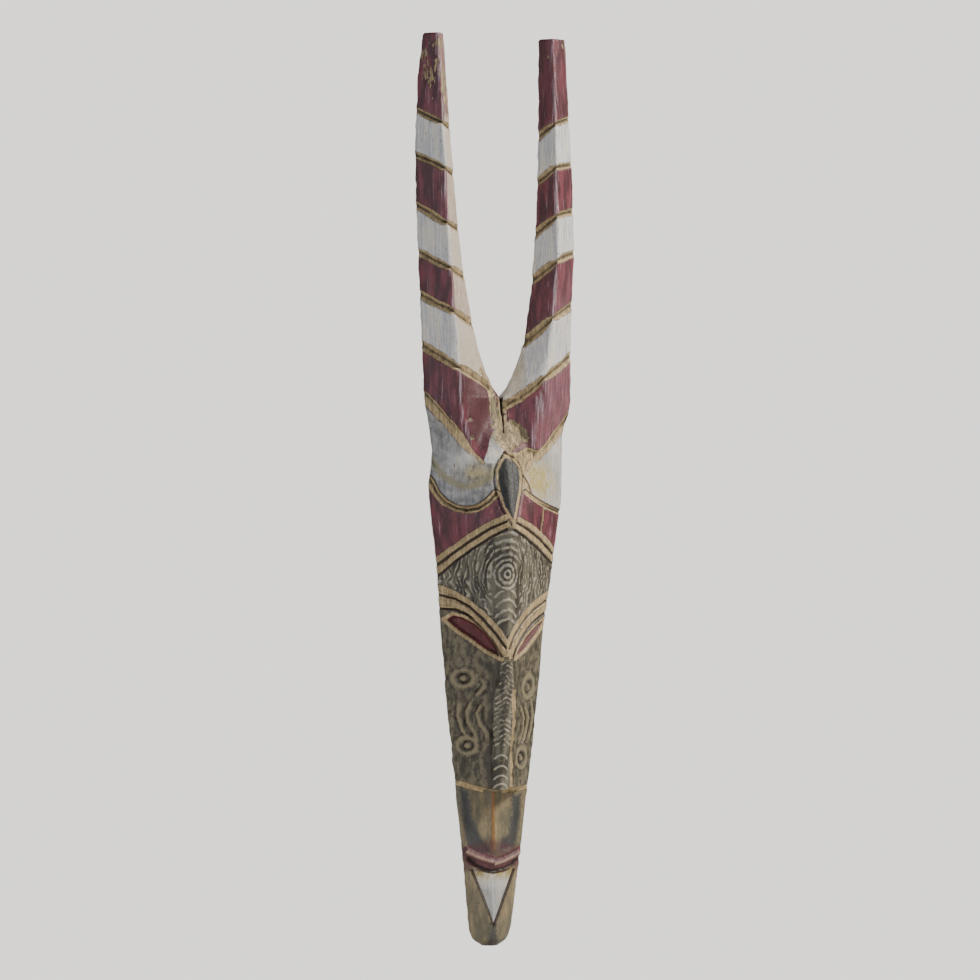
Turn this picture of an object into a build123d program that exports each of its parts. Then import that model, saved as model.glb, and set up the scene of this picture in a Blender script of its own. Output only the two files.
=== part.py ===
"""Carved wooden antelope mask, hung on a wall by a ring at its back. Millimetres, +Z up.

The mask is one log: a long narrow face, hollowed from behind, that runs up into two horns.
Origin: the point of the wall plane where the nail stands, on the centre line. The face looks
along -Y, +X is to its viewer's right, and the back of the wood lies in the plane Y = 0.
"""

import os
from math import asin, cos

from build123d import *

# --- heights of the carved fields, from the chin up ---
chin_height = 71.0  # foot of the chin to the lips
muzzle_height = 59.0  # lips to the end of the nose
nose_height = 121.0  # end of the nose to its root between the brows
forehead_height = 100.0  # nose root to the point of the crest leaf
crest_height = 56.0  # the crest leaf itself
root_height = 49.0  # top of the crest leaf to the fork between the horns
horn_height = 304.0  # fork to the horn tips
nail_above_crest = 21.0  # hanging point above the top of the crest leaf

# --- widths over the side corners ---
foot_width = 26.0
chin_width = 35.0
mouth_width = 48.0
nose_end_width = 60.5
brow_width = 86.5
forehead_width = 98.5  # at the forehead rings
temple_width = 107.0  # at the point of the crest leaf
crown_width = 112.0  # at the top of the crest leaf
fork_width = 121.0
horn_span = 134.0  # over both horns where they bow out most
horn_gap = 84.0  # clear width between the horn tips
root_gap = 5.0  # valley between the horns at the fork

# --- depths: wall plane to side corners, and side corners to the front ridge ---
foot_depth, foot_rise = 11.0, 4.0
chin_depth, chin_rise = 13.0, 8.0
mouth_depth, mouth_rise = 15.0, 7.0
muzzle_depth, muzzle_rise = 17.0, 5.0
face_depth, nose_end_rise = 20.0, 29.0
brow_rise, ring_rise, temple_rise = 43.0, 40.0, 47.0
crown_rise, fork_rise = 26.0, 8.0
horn_depth, horn_rise = 18.0, 19.0
boss_height, boss_foot_rise = 36.0, 9.0  # the horn's root swells out of the face below the crest
tip_depth, tip_rise = 13.0, 9.0
foot_round = 8.0  # height over which the foot of the chin rounds off
back_bevel = 5.0  # the back corners stand in by this much from the side corners
ridge_place = 0.375  # a horn's ridge, from its inner corner, as a share of its width
bevel_share = 0.25  # widest back bevel of a horn, as a share of its width
boss_inset = 2.0  # the boss starts this far inside the crown's side corner

# --- carved lines and fields ---
groove_depth, groove_width = 2.0, 4.0
line_width = 3.0  # chevrons, brows and boss rims
line_pitch = 9.0  # between the two lines of a pair
chevron_start, brow_start = -1.0, 6.0  # inner ends of the upper lines, from the temple and the brow
boss_share = 0.27  # radius of a boss rim, and its place, as a share of the crown's width
boss_lift = 2.0  # middle of the boss rims above the crown
eye_depth = 4.0
eye_inner_x, eye_inner_drop = 7.5, 8.0  # inner corner: from the centre line, and below the brow
eye_outer_inset, eye_outer_lift = 1.5, 22.0  # outer corner: from the side corner, and above the brow
chin_field_depth = 1.2
chin_field_drop, chin_field_foot = 8.0, 18.0  # below the lips, and above the foot
fine_line = 1.6  # width of the ring carving
ring_lift = 9.0  # middle of the forehead rings above the middle of the forehead
outer_ring, inner_ring, cheek_ring = 9.5, 5.5, 6.0  # radii
cheek_ring_offset = 30.0  # the cheek rings' middles, from the nose end and from the brow
leaf_width, leaf_lift = 26.0, 1.5
leaf_belly = 0.36  # widest place of the crest leaf, down from its top, as a share of its height
first_groove = 72.0  # horn tip down to the uppermost horn groove
groove_pitch, pitch_growth, horn_grooves = 38.0, 1.05, 7
groove_slope, slope_growth = 27.0, 2.2  # degrees, and degrees more for each lower groove
groove_place, groove_length = 0.36, 0.55  # middle and length, as shares of the horn span
root_grooves, root_groove_shift = 2, 0.11  # the lowest ones stand nearer the centre line

# --- hollow behind the face ---
side_wall = 11.0
face_wall = 14.0
hollow_sill = 45.0  # solid chin below the hollow
hollow_ceiling = 36.0  # top of the crest leaf down to the top of the hollow
sill_widening = 6.0
nose_clearance = 4.0  # extra wood behind the end of the nose
ceiling_slope_height = 12.0  # the hollow closes over this height at its top
ceiling_taper, ceiling_rise = (8.0, 30.0), 16.0  # narrower at the foot and top of that slope, and shallower

# --- hanger ---
strap_thickness, strap_width, strap_length = 1.0, 11.0, 30.0
flap_length = 15.0  # the strap's folded-back leaf, from the pivot
wire_radius = 1.1
ring_length = 15.0  # pivot to bow, on the wire's centre
ring_corner, bar_margin = 2.2, 0.3  # bend beside the bar, and straight bar beyond the strap
butt_gap = 0.4  # the wire's two ends meet inside the fold
pivot_clearance = 0.08
nail_radius = 2.0
rest_gap = 0.2  # between the leaning bow and the wood
screw_radius, screw_length, screw_tip = 1.5, 13.0, 3.0
head_radius, head_height, slot_width = 2.9, 1.6, 0.8
screw_clearance = 0.05
first_screw, screw_pitch = 10.5, 12.0
pocket_depth, pocket_margin = 6.0, 5.0

# --- levels ---
crown_z = -nail_above_crest
fork_z = crown_z + root_height
tip_z = fork_z + horn_height
temple_z = crown_z - crest_height
brow_z = temple_z - forehead_height
nose_end_z = brow_z - nose_height
mouth_z = nose_end_z - muzzle_height
foot_z = mouth_z - chin_height
ring_z = (brow_z + temple_z) / 2 + ring_lift  # middle of the forehead rings
cut_margin = 20.0
front_reach = face_depth + temple_rise + cut_margin  # further forward than any carved face
carving_limit = foot_depth - 3.0
carving_plane = Plane.XZ.offset(carving_limit)  # the front carving goes no further back

ring_width = strap_width + 2 * (bar_margin + ring_corner)

# Pivot of the hanging ring: the nail sits under the bow, and the bow leans on the wood.
pivot_y = -pocket_depth + strap_thickness + pivot_clearance + wire_radius
bow_y = -pocket_depth + rest_gap + wire_radius
ring_lean = asin((pivot_y - bow_y) / ring_length)
pivot_z = nail_radius + wire_radius - ring_length * cos(ring_lean)


def head_outline(width, depth, rise):
    """Cross-section of the face: flat back, bevelled sides and a ridged front."""
    half = width / 2
    return [
        (-(half - back_bevel), 0),
        (-half, -depth),
        (0, -(depth + rise)),
        (half, -depth),
        (half - back_bevel, 0),
    ]


def horn_outline(inner, outer, depth, rise):
    """Cross-section of the right-hand horn, between its inner and outer corners."""
    ridge = inner + (outer - inner) * ridge_place
    bevel = min(back_bevel, (outer - inner) * bevel_share)
    return [
        (inner + bevel, 0),
        (inner, -depth),
        (ridge, -(depth + rise)),
        (outer, -depth),
        (outer - bevel, 0),
    ]


def log_form(sections, inset):
    """Straight-sided body through (level, outline) sections, each drawn in by the inset."""
    with BuildPart() as form:
        for level, outline in sections:
            with BuildSketch(Plane.XY.offset(level)):
                with BuildLine():
                    Polyline(*outline, close=True)
                make_face()
                if inset:
                    offset(amount=-inset, kind=Kind.INTERSECTION, mode=Mode.REPLACE)
        loft(ruled=True)
    return form.part


jaw_sections = [
    (foot_z, head_outline(foot_width, foot_depth, foot_rise)),
    (foot_z + foot_round, head_outline(chin_width, chin_depth, chin_rise)),
    (mouth_z, head_outline(mouth_width, mouth_depth, mouth_rise)),
    (nose_end_z, head_outline(nose_end_width, muzzle_depth, muzzle_rise)),
]
face_sections = [
    (nose_end_z, head_outline(nose_end_width, muzzle_depth, nose_end_rise)),
    (brow_z, head_outline(brow_width, face_depth, brow_rise)),
    (ring_z, head_outline(forehead_width, face_depth, ring_rise)),
    (temple_z, head_outline(temple_width, face_depth, temple_rise)),
    (crown_z, head_outline(crown_width, face_depth, crown_rise)),
    (fork_z, head_outline(fork_width, face_depth, fork_rise)),
]

# Shares of the horn's height, of the gap between the tips, of the span, and of the way
# from the horn's full depth to its tip's.
horn_profile = [
    (0.00, 0.06, 0.930, 0.0),
    (0.07, 0.28, 0.940, 0.0),
    (0.14, 0.46, 0.948, 0.0),
    (0.22, 0.59, 0.960, 0.1),
    (0.37, 0.74, 0.990, 0.2),
    (0.65, 0.88, 1.000, 0.5),
    (0.87, 0.95, 0.955, 0.8),
    (1.00, 1.00, 0.910, 1.0),
]


def horn_section(share, gap_share, span_share, thinning):
    """Level and outline of the right-hand horn at one share of its height."""
    depth = horn_depth + (tip_depth - horn_depth) * thinning
    rise = horn_rise + (tip_rise - horn_rise) * thinning
    inner = max(horn_gap * gap_share, root_gap) / 2
    level = fork_z + horn_height * share
    return level, horn_outline(inner, horn_span * span_share / 2, depth, rise)


boss_foot_z = crown_z - boss_height
horn_sections = [
    (boss_foot_z, horn_outline(root_gap, crown_width / 2 - boss_inset, horn_depth, boss_foot_rise)),
    (crown_z, horn_outline(root_gap, crown_width / 2, horn_depth, horn_rise)),
    *[horn_section(*row) for row in horn_profile],
]


def blank(inset):
    """The whole log shaped but uncarved, or the core left under carving of that depth."""
    horn = log_form(horn_sections, inset)
    with BuildPart() as log:
        add(log_form(jaw_sections, inset))
        add(log_form(face_sections, inset))
        add(horn)
        add(mirror(horn, about=Plane.YZ, mode=Mode.PRIVATE))
    return log.part


# --- carved lines, seen from the front ---
chevron = [(-2, 0), (temple_width * 0.25, -16), (temple_width * 0.6, -48)]
brow = [(-2, 0), (brow_width * 0.22, 24), (brow_width * 0.38, 38), (brow_width * 0.6, 41)]
lip = [(-1, 0), (mouth_width * 0.7, 13)]
boss_radius = crown_width * boss_share
boss_place = (boss_radius, crown_z + boss_lift)
with BuildSketch(carving_plane) as line_work:
    for start_z, path in (
        (temple_z + chevron_start, chevron),
        (temple_z + chevron_start - line_pitch, chevron),
        (brow_z + brow_start, brow),
        (brow_z + brow_start - line_pitch, brow),
        (mouth_z, lip),
    ):
        with BuildLine():
            Polyline(*[(x, start_z + z) for x, z in path])
        trace(line_width=line_width)
    # rims under the horn bosses
    with Locations(boss_place):
        Circle(boss_radius + line_width)
        Circle(boss_radius, mode=Mode.SUBTRACT)
    with Locations((boss_place[0], boss_place[1] + boss_radius)):
        Rectangle(3 * boss_radius, 2 * boss_radius, mode=Mode.SUBTRACT)
    mirror(about=Plane.YZ)

# rings on the forehead, and a pair on each cheek
lower_cheek = (nose_end_width * 0.55, nose_end_z + cheek_ring_offset)
upper_cheek = (brow_width * 0.33, brow_z - cheek_ring_offset)
rings = [((0, ring_z), outer_ring), ((0, ring_z), inner_ring)]
rings += [((side * x, z), cheek_ring) for x, z in (lower_cheek, upper_cheek) for side in (1, -1)]
with BuildSketch(carving_plane) as ring_work:
    for place, radius in rings:
        with Locations(place):
            Circle(radius)
            Circle(radius - fine_line, mode=Mode.SUBTRACT)

with BuildSketch(carving_plane) as chin_field:
    with BuildLine():
        half = chin_width * 0.5
        corner = mouth_z - chin_field_drop
        Polyline((-half, corner), (half, corner), (0, foot_z + chin_field_foot), close=True)
    make_face()

with BuildSketch(carving_plane) as eyes:
    with BuildLine():
        inner = (eye_inner_x, brow_z - eye_inner_drop)
        outer = (brow_width / 2 - eye_outer_inset, brow_z + eye_outer_lift)
        ThreePointArc(inner, (brow_width * 0.24, brow_z + 15), outer)
        ThreePointArc(outer, (brow_width * 0.27, brow_z + 5), inner)
    make_face()
    mirror(about=Plane.YZ)

with BuildSketch(carving_plane) as leaf:
    with BuildLine():
        middle = crown_z - crest_height * leaf_belly
        ThreePointArc((0, crown_z), (leaf_width * 0.42, crown_z - 8), (leaf_width / 2, middle))
        Line((leaf_width / 2, middle), (0, temple_z))
    with BuildLine():
        Line((0, temple_z), (0, crown_z))
    make_face()
    mirror(about=Plane.YZ)

# --- the log, its carving and its hollow ---
with BuildPart() as horn_slabs:
    level = tip_z - first_groove
    slope = groove_slope
    for index in range(horn_grooves):
        shift = root_groove_shift if index >= horn_grooves - root_grooves else 0
        middle = horn_span * (groove_place - shift)
        for side in (-1, 1):
            place = Location((side * middle, -front_reach / 2, level), (0, -side * slope, 0))
            with Locations(place):
                Box(horn_span * groove_length, front_reach - 2 * groove_depth, groove_width)
        level -= groove_pitch * pitch_growth**index
        slope += slope_growth

with BuildPart() as shallow_cuts:
    extrude(line_work.sketch, amount=front_reach)
    extrude(ring_work.sketch, amount=front_reach)
    add(horn_slabs.part)
    add(blank(groove_depth), mode=Mode.SUBTRACT)

with BuildPart() as eye_cuts:
    extrude(eyes.sketch, amount=front_reach)
    add(blank(eye_depth), mode=Mode.SUBTRACT)

with BuildPart() as chin_cut:
    extrude(chin_field.sketch, amount=front_reach)
    add(blank(chin_field_depth), mode=Mode.SUBTRACT)

with BuildPart() as raised_leaf:
    extrude(leaf.sketch, amount=front_reach)
    add(blank(-leaf_lift), mode=Mode.INTERSECT)


def hollow_outline(width, depth, rise):
    """Cross-section of the hollow behind a face section, keeping the side and front walls."""
    half = width / 2 - side_wall
    deepest = depth + rise - face_wall
    overcut = 5
    return [
        (-half, overcut),
        (-half, 0),
        (-half * 0.8, -(deepest * 0.45)),
        (-half * 0.25, -deepest),
        (half * 0.25, -deepest),
        (half * 0.8, -(deepest * 0.45)),
        (half, 0),
        (half, overcut),
    ]


sill_z = foot_z + hollow_sill
ceiling_z = crown_z - hollow_ceiling
ceiling_foot_z = ceiling_z - ceiling_slope_height
hollow_sections = [
    (sill_z, hollow_outline(chin_width + sill_widening, chin_depth, chin_rise)),
    (nose_end_z, hollow_outline(nose_end_width, muzzle_depth, muzzle_rise)),
    (
        nose_end_z + face_wall,
        hollow_outline(nose_end_width + sill_widening, muzzle_depth, nose_end_rise - nose_clearance),
    ),
    (brow_z, hollow_outline(brow_width, face_depth, brow_rise)),
    (ceiling_foot_z, hollow_outline(temple_width - ceiling_taper[0], face_depth, ring_rise)),
    (ceiling_z, hollow_outline(temple_width - ceiling_taper[1], face_depth, ring_rise - ceiling_rise)),
]

pocket_top = nail_radius + 2 * wire_radius + pocket_margin
pocket_foot = pivot_z - strap_length - pocket_margin
pocket_width = ring_width + 2 * (wire_radius + pocket_margin)
screw_places = [
    (0, pivot_z - first_screw, -pocket_depth + 2 * strap_thickness),
    (0, pivot_z - first_screw - screw_pitch, -pocket_depth + strap_thickness),
]

with BuildPart() as carved_body:
    add(blank(0))
    add(raised_leaf.part)
    for cut in (shallow_cuts, eye_cuts, chin_cut):
        add(cut.part, mode=Mode.SUBTRACT)
    add(log_form(hollow_sections, 0), mode=Mode.SUBTRACT)
    with BuildSketch(Plane.XZ):
        with Locations((0, (pocket_top + pocket_foot) / 2)):
            RectangleRounded(pocket_width, pocket_top - pocket_foot, pocket_margin)
    extrude(amount=pocket_depth, mode=Mode.SUBTRACT)
    for x, z, _ in screw_places:
        with Locations(Plane(origin=(x, -pocket_depth, z), z_dir=(0, 1, 0))):
            Hole(screw_radius + screw_clearance, depth=screw_length)
carved_body.part.label = "carved_body"

# --- hanger strap: folded over the ring's bar, both leaves flat on the wood ---
loop_inner = wire_radius + pivot_clearance
loop_outer = loop_inner + strap_thickness
leaf_end = pivot_z - strap_length + strap_width / 2
with BuildPart() as hanger_strap:
    with BuildSketch(Plane.YZ.offset(-strap_width / 2)):
        with Locations((pivot_y, pivot_z)):
            Circle(loop_outer)
            Circle(loop_inner, mode=Mode.SUBTRACT)
    extrude(amount=strap_width)
    with BuildSketch(Plane.XZ.offset(pocket_depth)):
        with Locations((0, (leaf_end + pivot_z) / 2)):
            Rectangle(strap_width, pivot_z - leaf_end)
        with Locations((0, leaf_end)):
            Circle(strap_width / 2)
    extrude(amount=-strap_thickness)
    with BuildSketch(Plane.XZ.offset(pocket_depth - strap_thickness)):
        flap_top = pivot_z - loop_inner
        with Locations((0, flap_top - (flap_length - loop_inner) / 2)):
            Rectangle(strap_width, flap_length - loop_inner)
    extrude(amount=-strap_thickness)
    with Locations(Location((0, pivot_y, pivot_z), (0, 90, 0))):
        Cylinder(loop_inner, strap_width, mode=Mode.SUBTRACT)
    for x, z, _ in screw_places:
        with Locations(Plane(origin=(x, pivot_y, z), z_dir=(0, 1, 0))):
            Cylinder(screw_radius + screw_clearance, pocket_depth * 2, mode=Mode.SUBTRACT)
hanger_strap.part.label = "hanger_strap"

# --- hanging ring: a bow of wire whose straight bar turns inside the strap's fold ---
ring_plane = Plane(
    origin=(0, pivot_y, pivot_z),
    x_dir=(1, 0, 0),
    z_dir=(0, -cos(ring_lean), -(pivot_y - bow_y) / ring_length),
)
side = ring_width / 2
shoulder = ring_length - side
with BuildPart() as hanger_ring:
    with BuildLine(ring_plane) as wire:
        bar_end = side - ring_corner
        Line((butt_gap / 2, 0), (bar_end, 0))
        RadiusArc((bar_end, 0), (side, ring_corner), -ring_corner)
        Line((side, ring_corner), (side, shoulder))
        ThreePointArc((side, shoulder), (0, ring_length), (-side, shoulder))
        Line((-side, shoulder), (-side, ring_corner))
        RadiusArc((-side, ring_corner), (-bar_end, 0), -ring_corner)
        Line((-bar_end, 0), (-butt_gap / 2, 0))
    with BuildSketch(Plane(origin=wire.line @ 0, z_dir=wire.line % 0)):
        Circle(wire_radius)
    sweep(path=wire.line)
hanger_ring.part.label = "hanger_ring"

# --- the two screws through the strap ---
screws = []
for name, (x, z, seat_y) in zip(("hanger_screw_upper", "hanger_screw_lower"), screw_places):
    with BuildPart() as screw:
        with BuildSketch(Plane.XY):
            with BuildLine():
                Polyline(
                    (0, head_height),
                    (head_radius * 0.7, head_height),
                    (head_radius, head_height * 0.4),
                    (head_radius, 0),
                    (screw_radius, 0),
                    (screw_radius, -(screw_length - screw_tip)),
                    (0, -screw_length),
                    close=True,
                )
            make_face()
        revolve(axis=Axis.Y)
        with BuildSketch(Plane.XZ.offset(-head_height)):
            Rectangle(head_radius * 2, slot_width)
        extrude(amount=slot_width, mode=Mode.SUBTRACT)
    placed = screw.part.moved(Location((x, seat_y, z)))
    placed.label = name
    screws.append(placed)

os.makedirs("parts", exist_ok=True)
for piece in (carved_body.part, hanger_strap.part, hanger_ring.part, *screws):
    export_step(piece, f"parts/{piece.label}.step")
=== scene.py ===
import math
from types import SimpleNamespace

import bpy
import mathutils
import numpy as np
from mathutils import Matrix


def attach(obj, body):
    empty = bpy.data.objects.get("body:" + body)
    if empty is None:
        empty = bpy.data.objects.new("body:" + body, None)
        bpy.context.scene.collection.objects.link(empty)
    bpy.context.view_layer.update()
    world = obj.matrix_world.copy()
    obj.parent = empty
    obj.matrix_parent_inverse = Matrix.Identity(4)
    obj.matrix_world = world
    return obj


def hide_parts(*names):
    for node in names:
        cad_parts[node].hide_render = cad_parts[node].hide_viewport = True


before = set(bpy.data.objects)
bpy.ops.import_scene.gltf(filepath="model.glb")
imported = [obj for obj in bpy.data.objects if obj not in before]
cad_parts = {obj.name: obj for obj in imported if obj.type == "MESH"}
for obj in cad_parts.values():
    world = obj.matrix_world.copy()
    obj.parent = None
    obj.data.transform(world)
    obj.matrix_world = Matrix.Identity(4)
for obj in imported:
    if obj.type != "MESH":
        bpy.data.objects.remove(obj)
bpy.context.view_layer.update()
mm = 0.001

foot, tip = -428.0, 332.0
fork = 28.0  # height where the horns part
noseEnd = dict(height=-298.0, climbLeft=7.5, climbRight=3.5, over=30)  # its border climbs to both sides
hollow = dict(sill=-383, ceiling=-57, sideWall=11, faceWall=14, sideSlope=1.9, endSlope=1.2)
pocket = dict(halfWidth=14.1, foot=-46.9, top=9.2, depth=6)

# The log's lines as (height, value) stations in mm: edges and ridges across, depths forward.
logShape = dict(
    leftEdge=[(-428, -8), (-424, -18), (-414, -21.5), (-366, -26), (-318, -31), (-258, -38), (-207, -43),
              (-158, -47), (-103, -51), (-60, -56), (-44, -57), (-18, -54), (4, -56.5), (24, -60.5),
              (73, -62.5), (126, -64.5), (190, -67), (240, -68), (297, -65), (332, -60.5)],
    rightEdge=[(-428, 2), (-424, 10.5), (-414, 14.5), (-352, 22), (-305, 27), (-258, 32.5), (-207, 37.5),
               (-163, 41), (-125, 47), (-91, 51.5), (-57, 56.5), (-2, 57), (14, 63), (28, 65), (86, 65.5),
               (146, 68.5), (204, 67.5), (261, 64.5), (332, 61.5)],
    leftInner=[(28, 4.5), (36, -2), (49, -8), (70, -15), (92, -20), (141, -28.5), (180, -32.5),
               (241, -37.5), (332, -43.5)],
    rightInner=[(28, 4.5), (32, 8), (57, 19.5), (76, 25.5), (118, 32), (186, 37), (268, 38.5), (332, 39)],
    sideDepth=[(-428, 11), (-420, 13), (-357, 15), (-298, 17), (-177, 20), (-21, 20), (28, 18), (95, 17.5),
               (225, 15.5), (332, 13)],
    ridgeX=[(-428, -3), (-299, -3.5), (-177, -2), (-77, 2.5), (-21, 1), (28, 4.5)],
    faceRise=[(-330, 23), (-298, 28.5), (-240, 36), (-177, 43), (-118, 40), (-77, 46.5), (-60, 41),
              (-21, 27), (5, 10), (28, 1)],
    jawRise=[(-428, 4.5), (-420, 7.5), (-400, 9), (-357, 7), (-340, 5.5), (-298, 4.5)],
    hornRise=[(-60, 4), (-21, 15), (28, 18), (150, 19), (225, 17.5), (290, 13), (332, 9.5)],
    leftRidge=[(-60, -27), (-21, -22), (10, -32), (100, -40.5), (180, -46), (332, -51)],
    rightRidge=[(-60, 27), (-10, 28.5), (26, 34.5), (93, 44), (141, 48.5), (332, 48)],
)
softening = dict(leftEdge=2.0, rightEdge=2.0, leftInner=3.0, rightInner=3.0, jawRise=3.0, faceRise=5.0)
modelling = dict(
    faceRound=0.10, jawRound=0.3, hornRound=0.09, forkRound=0.2,  # how blunt each ridge is
    noseFlat=1.6, noseHalfWidth=7.2, noseTop=(-186, -200),
    jawRidge=2.2, jawRidgeWidth=2.6, jawRidgeTop=(-352, -340),
    bossFoot=(-62, -46), merge=2.0, edgeRound=1.5, edgeReach=1.3,
)


def alongLog(points, reachMm):
    # a smooth curve through listed stations, as a function of height
    z, value = (np.array(column, float) for column in zip(*sorted(points)))
    fine = np.arange(foot - 40, tip + 40, 0.5)
    span = np.arange(-int(6 * reachMm), int(6 * reachMm) + 1) * 0.5
    weight = np.exp(-0.5 * (span / reachMm) ** 2)
    padded = np.pad(np.interp(fine, z, value), len(weight) // 2, mode="edge")
    smooth = np.convolve(padded, weight / weight.sum(), mode="valid")
    return lambda at: np.interp(at, fine, smooth)


curve = {name: alongLog(points, softening.get(name, 6.0)) for name, points in logShape.items()}


def smoothStep(a, b, v):
    t = np.clip((v - a) / (b - a), 0, 1)
    return t * t * (3 - 2 * t)


def spot(x, z, middleX, middleZ, wide, tall):
    # 1 in the middle of a soft spot, fading outwards
    return np.exp(-(((x - middleX) / wide) ** 2) - ((z - middleZ) / tall) ** 2)


def bell(v, middle, reach):
    return np.exp(-(((v - middle) / reach) ** 2))


def softMax(a, b, k):
    return 0.5 * (a + b + np.sqrt((a - b) ** 2 + k * k))


def ridgedFront(x, left, ridge, right, rise, blunt):
    # a ridge between two corners, its crest rounded
    width = np.where(x < ridge, ridge - left, right - ridge)
    t = np.where(x < ridge, ridge - x, x - ridge) / np.maximum(width, 1)
    return rise * (1 - (np.sqrt(t * t + blunt * blunt) - blunt) / (np.sqrt(1 + blunt * blunt) - blunt))


def noseBorder(x, z):
    # height of the lower border of nose and cheeks
    side = np.abs(x - curve["ridgeX"](z)) / noseEnd["over"]
    climb = np.where(x < curve["ridgeX"](z), noseEnd["climbLeft"], noseEnd["climbRight"])
    return noseEnd["height"] + climb * np.clip(side, 0, 1.2) ** 1.3


def hornFront(x, z, left, ridge, right):
    blunt = modelling["hornRound"] + modelling["forkRound"] * smoothStep(80, 20, z)
    return ridgedFront(x, left, ridge, right, curve["hornRise"](z), blunt)


def frontDepth(x, z):
    # depth of the uncarved front of the head, forward from the wall plane
    left, right, ridge = curve["leftEdge"](z), curve["rightEdge"](z), curve["ridgeX"](z)
    face = ridgedFront(x, left, ridge, right, curve["faceRise"](z), modelling["faceRound"])
    flat = np.exp(-(((x - ridge) / modelling["noseHalfWidth"]) ** 6))
    face += modelling["noseFlat"] * flat * smoothStep(*modelling["noseTop"], z)
    jaw = ridgedFront(x, left, ridge, right, curve["jawRise"](z), modelling["jawRound"])
    jawRidge = bell(x, ridge, modelling["jawRidgeWidth"]) * smoothStep(*modelling["jawRidgeTop"], z)
    jaw += modelling["jawRidge"] * jawRidge
    head = jaw + (face - jaw) * smoothStep(-1.6, 1.2, z - noseBorder(x, z))
    leftHorn = hornFront(x, z, left, curve["leftRidge"](z), np.minimum(ridge, 4.5))
    rightHorn = hornFront(x, z, np.maximum(ridge, 1), curve["rightRidge"](z), right)
    boss = smoothStep(*modelling["bossFoot"], z)
    horns = np.where(x < ridge, leftHorn, rightHorn) * boss - 30 * (1 - boss)
    swelling = softMax(head, horns, modelling["merge"])
    return curve["sideDepth"](z) + np.where(z > modelling["bossFoot"][0], swelling, head)


def depthAt(x, z, kind):
    # the same everywhere: kind 0 is the head, 1 and 2 the left and right horns above the fork
    left = hornFront(x, z, curve["leftEdge"](z), curve["leftRidge"](z), curve["leftInner"](z))
    right = hornFront(x, z, curve["rightInner"](z), curve["rightRidge"](z), curve["rightEdge"](z))
    depth = np.where(kind == 0, frontDepth(x, z), curve["sideDepth"](z) + np.where(kind == 1, left, right))
    low = np.where(kind == 2, curve["rightInner"](z), curve["leftEdge"](z))
    high = np.where(kind == 1, curve["leftInner"](z), curve["rightEdge"](z))
    corners = sum(np.exp(-np.abs(x - edge) / modelling["edgeReach"]) for edge in (low, high))
    return depth - modelling["edgeRound"] * corners


def lattice(i, j, seed):
    h = (i * 374761393 + j * 668265263 + seed * 974711) & 0xFFFFFFFF
    h = ((h ^ (h >> 13)) * 1274126177) & 0xFFFFFFFF
    return ((h ^ (h >> 16)) & 0xFFFF) / 32767.5 - 1.0


def waver(x, y, seed):
    # smooth noise from -1 to 1, one cell per unit, for what a hand does unevenly
    xi, yi = np.floor(x).astype(np.int64), np.floor(y).astype(np.int64)
    fx, fy = x - xi, y - yi
    fx, fy = fx * fx * (3 - 2 * fx), fy * fy * (3 - 2 * fy)
    low = (1 - fx) * lattice(xi, yi, seed) + fx * lattice(xi + 1, yi, seed)
    high = (1 - fx) * lattice(xi, yi + 1, seed) + fx * lattice(xi + 1, yi + 1, seed)
    return (1 - fy) * low + fy * high


def handWobble(x, z):
    return 0.6 * waver(x / 3.1, z / 3.7, 3) + 0.3 * waver(x / 9, z / 11, 4)


def pathDistance(x, z, path):
    # distance to a line of points, and how far along it the nearest place lies
    best = np.full(x.shape, 1e9)
    share = np.zeros(x.shape)
    for i, ((ax, az), (bx, bz)) in enumerate(zip(path[:-1], path[1:])):
        dx, dz = bx - ax, bz - az
        t = np.clip(((x - ax) * dx + (z - az) * dz) / (dx * dx + dz * dz), 0, 1)
        d = np.hypot(x - ax - t * dx, z - az - t * dz)
        share = np.where(d < best, (i + t) / (len(path) - 1), share)
        best = np.minimum(best, d)
    return best, share


def within(x, z, outline):
    # distance to a closed outline, positive inside
    closed = outline + outline[:1]
    d, _ = pathDistance(x, z, closed)
    inside = np.zeros(x.shape, bool)
    for (ax, az), (bx, bz) in zip(closed[:-1], closed[1:]):
        if az != bz:
            inside ^= ((az > z) != (bz > z)) & (x < ax + (z - az) * (bx - ax) / (bz - az))
    return np.where(inside, d, -d)


def lineHeight(x, path):
    return np.interp(x, *zip(*sorted(path)))


def gouge(d, halfWidth, depth, power=1.0):
    # cross-section of one carved line, deepest in the middle
    return depth * np.clip(1 - d / halfWidth, 0, 1) ** power


# How the wood starts. Areas are in mm inside their edge, so far outside at first; the rest are strengths.
plainWood = dict(cut=0.0, red=-999.0, white=-99.0, raw=-9.0, line=-9.0, lip=-99.0, ringArc=-9.0, eye=-999.0,
                 crest=0.0, stain=0.0, worn=0.0, shaded=0.0)
paintNames = ("cut", "red", "white", "dark", "raw", "line", "cheek", "patch", "lip", "smear", "crest", "leaf",
              "stain", "worn", "rubbed", "innerFacet", "amber", "muzzle", "litFacet", "shaded", "lowEnd",
              "leafSide", "eye", "ringArc")


def cutTo(wood, depth):
    wood.cut = np.maximum(wood.cut, depth)


def addArea(wood, name, distance):
    setattr(wood, name, np.maximum(getattr(wood, name), distance))


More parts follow.
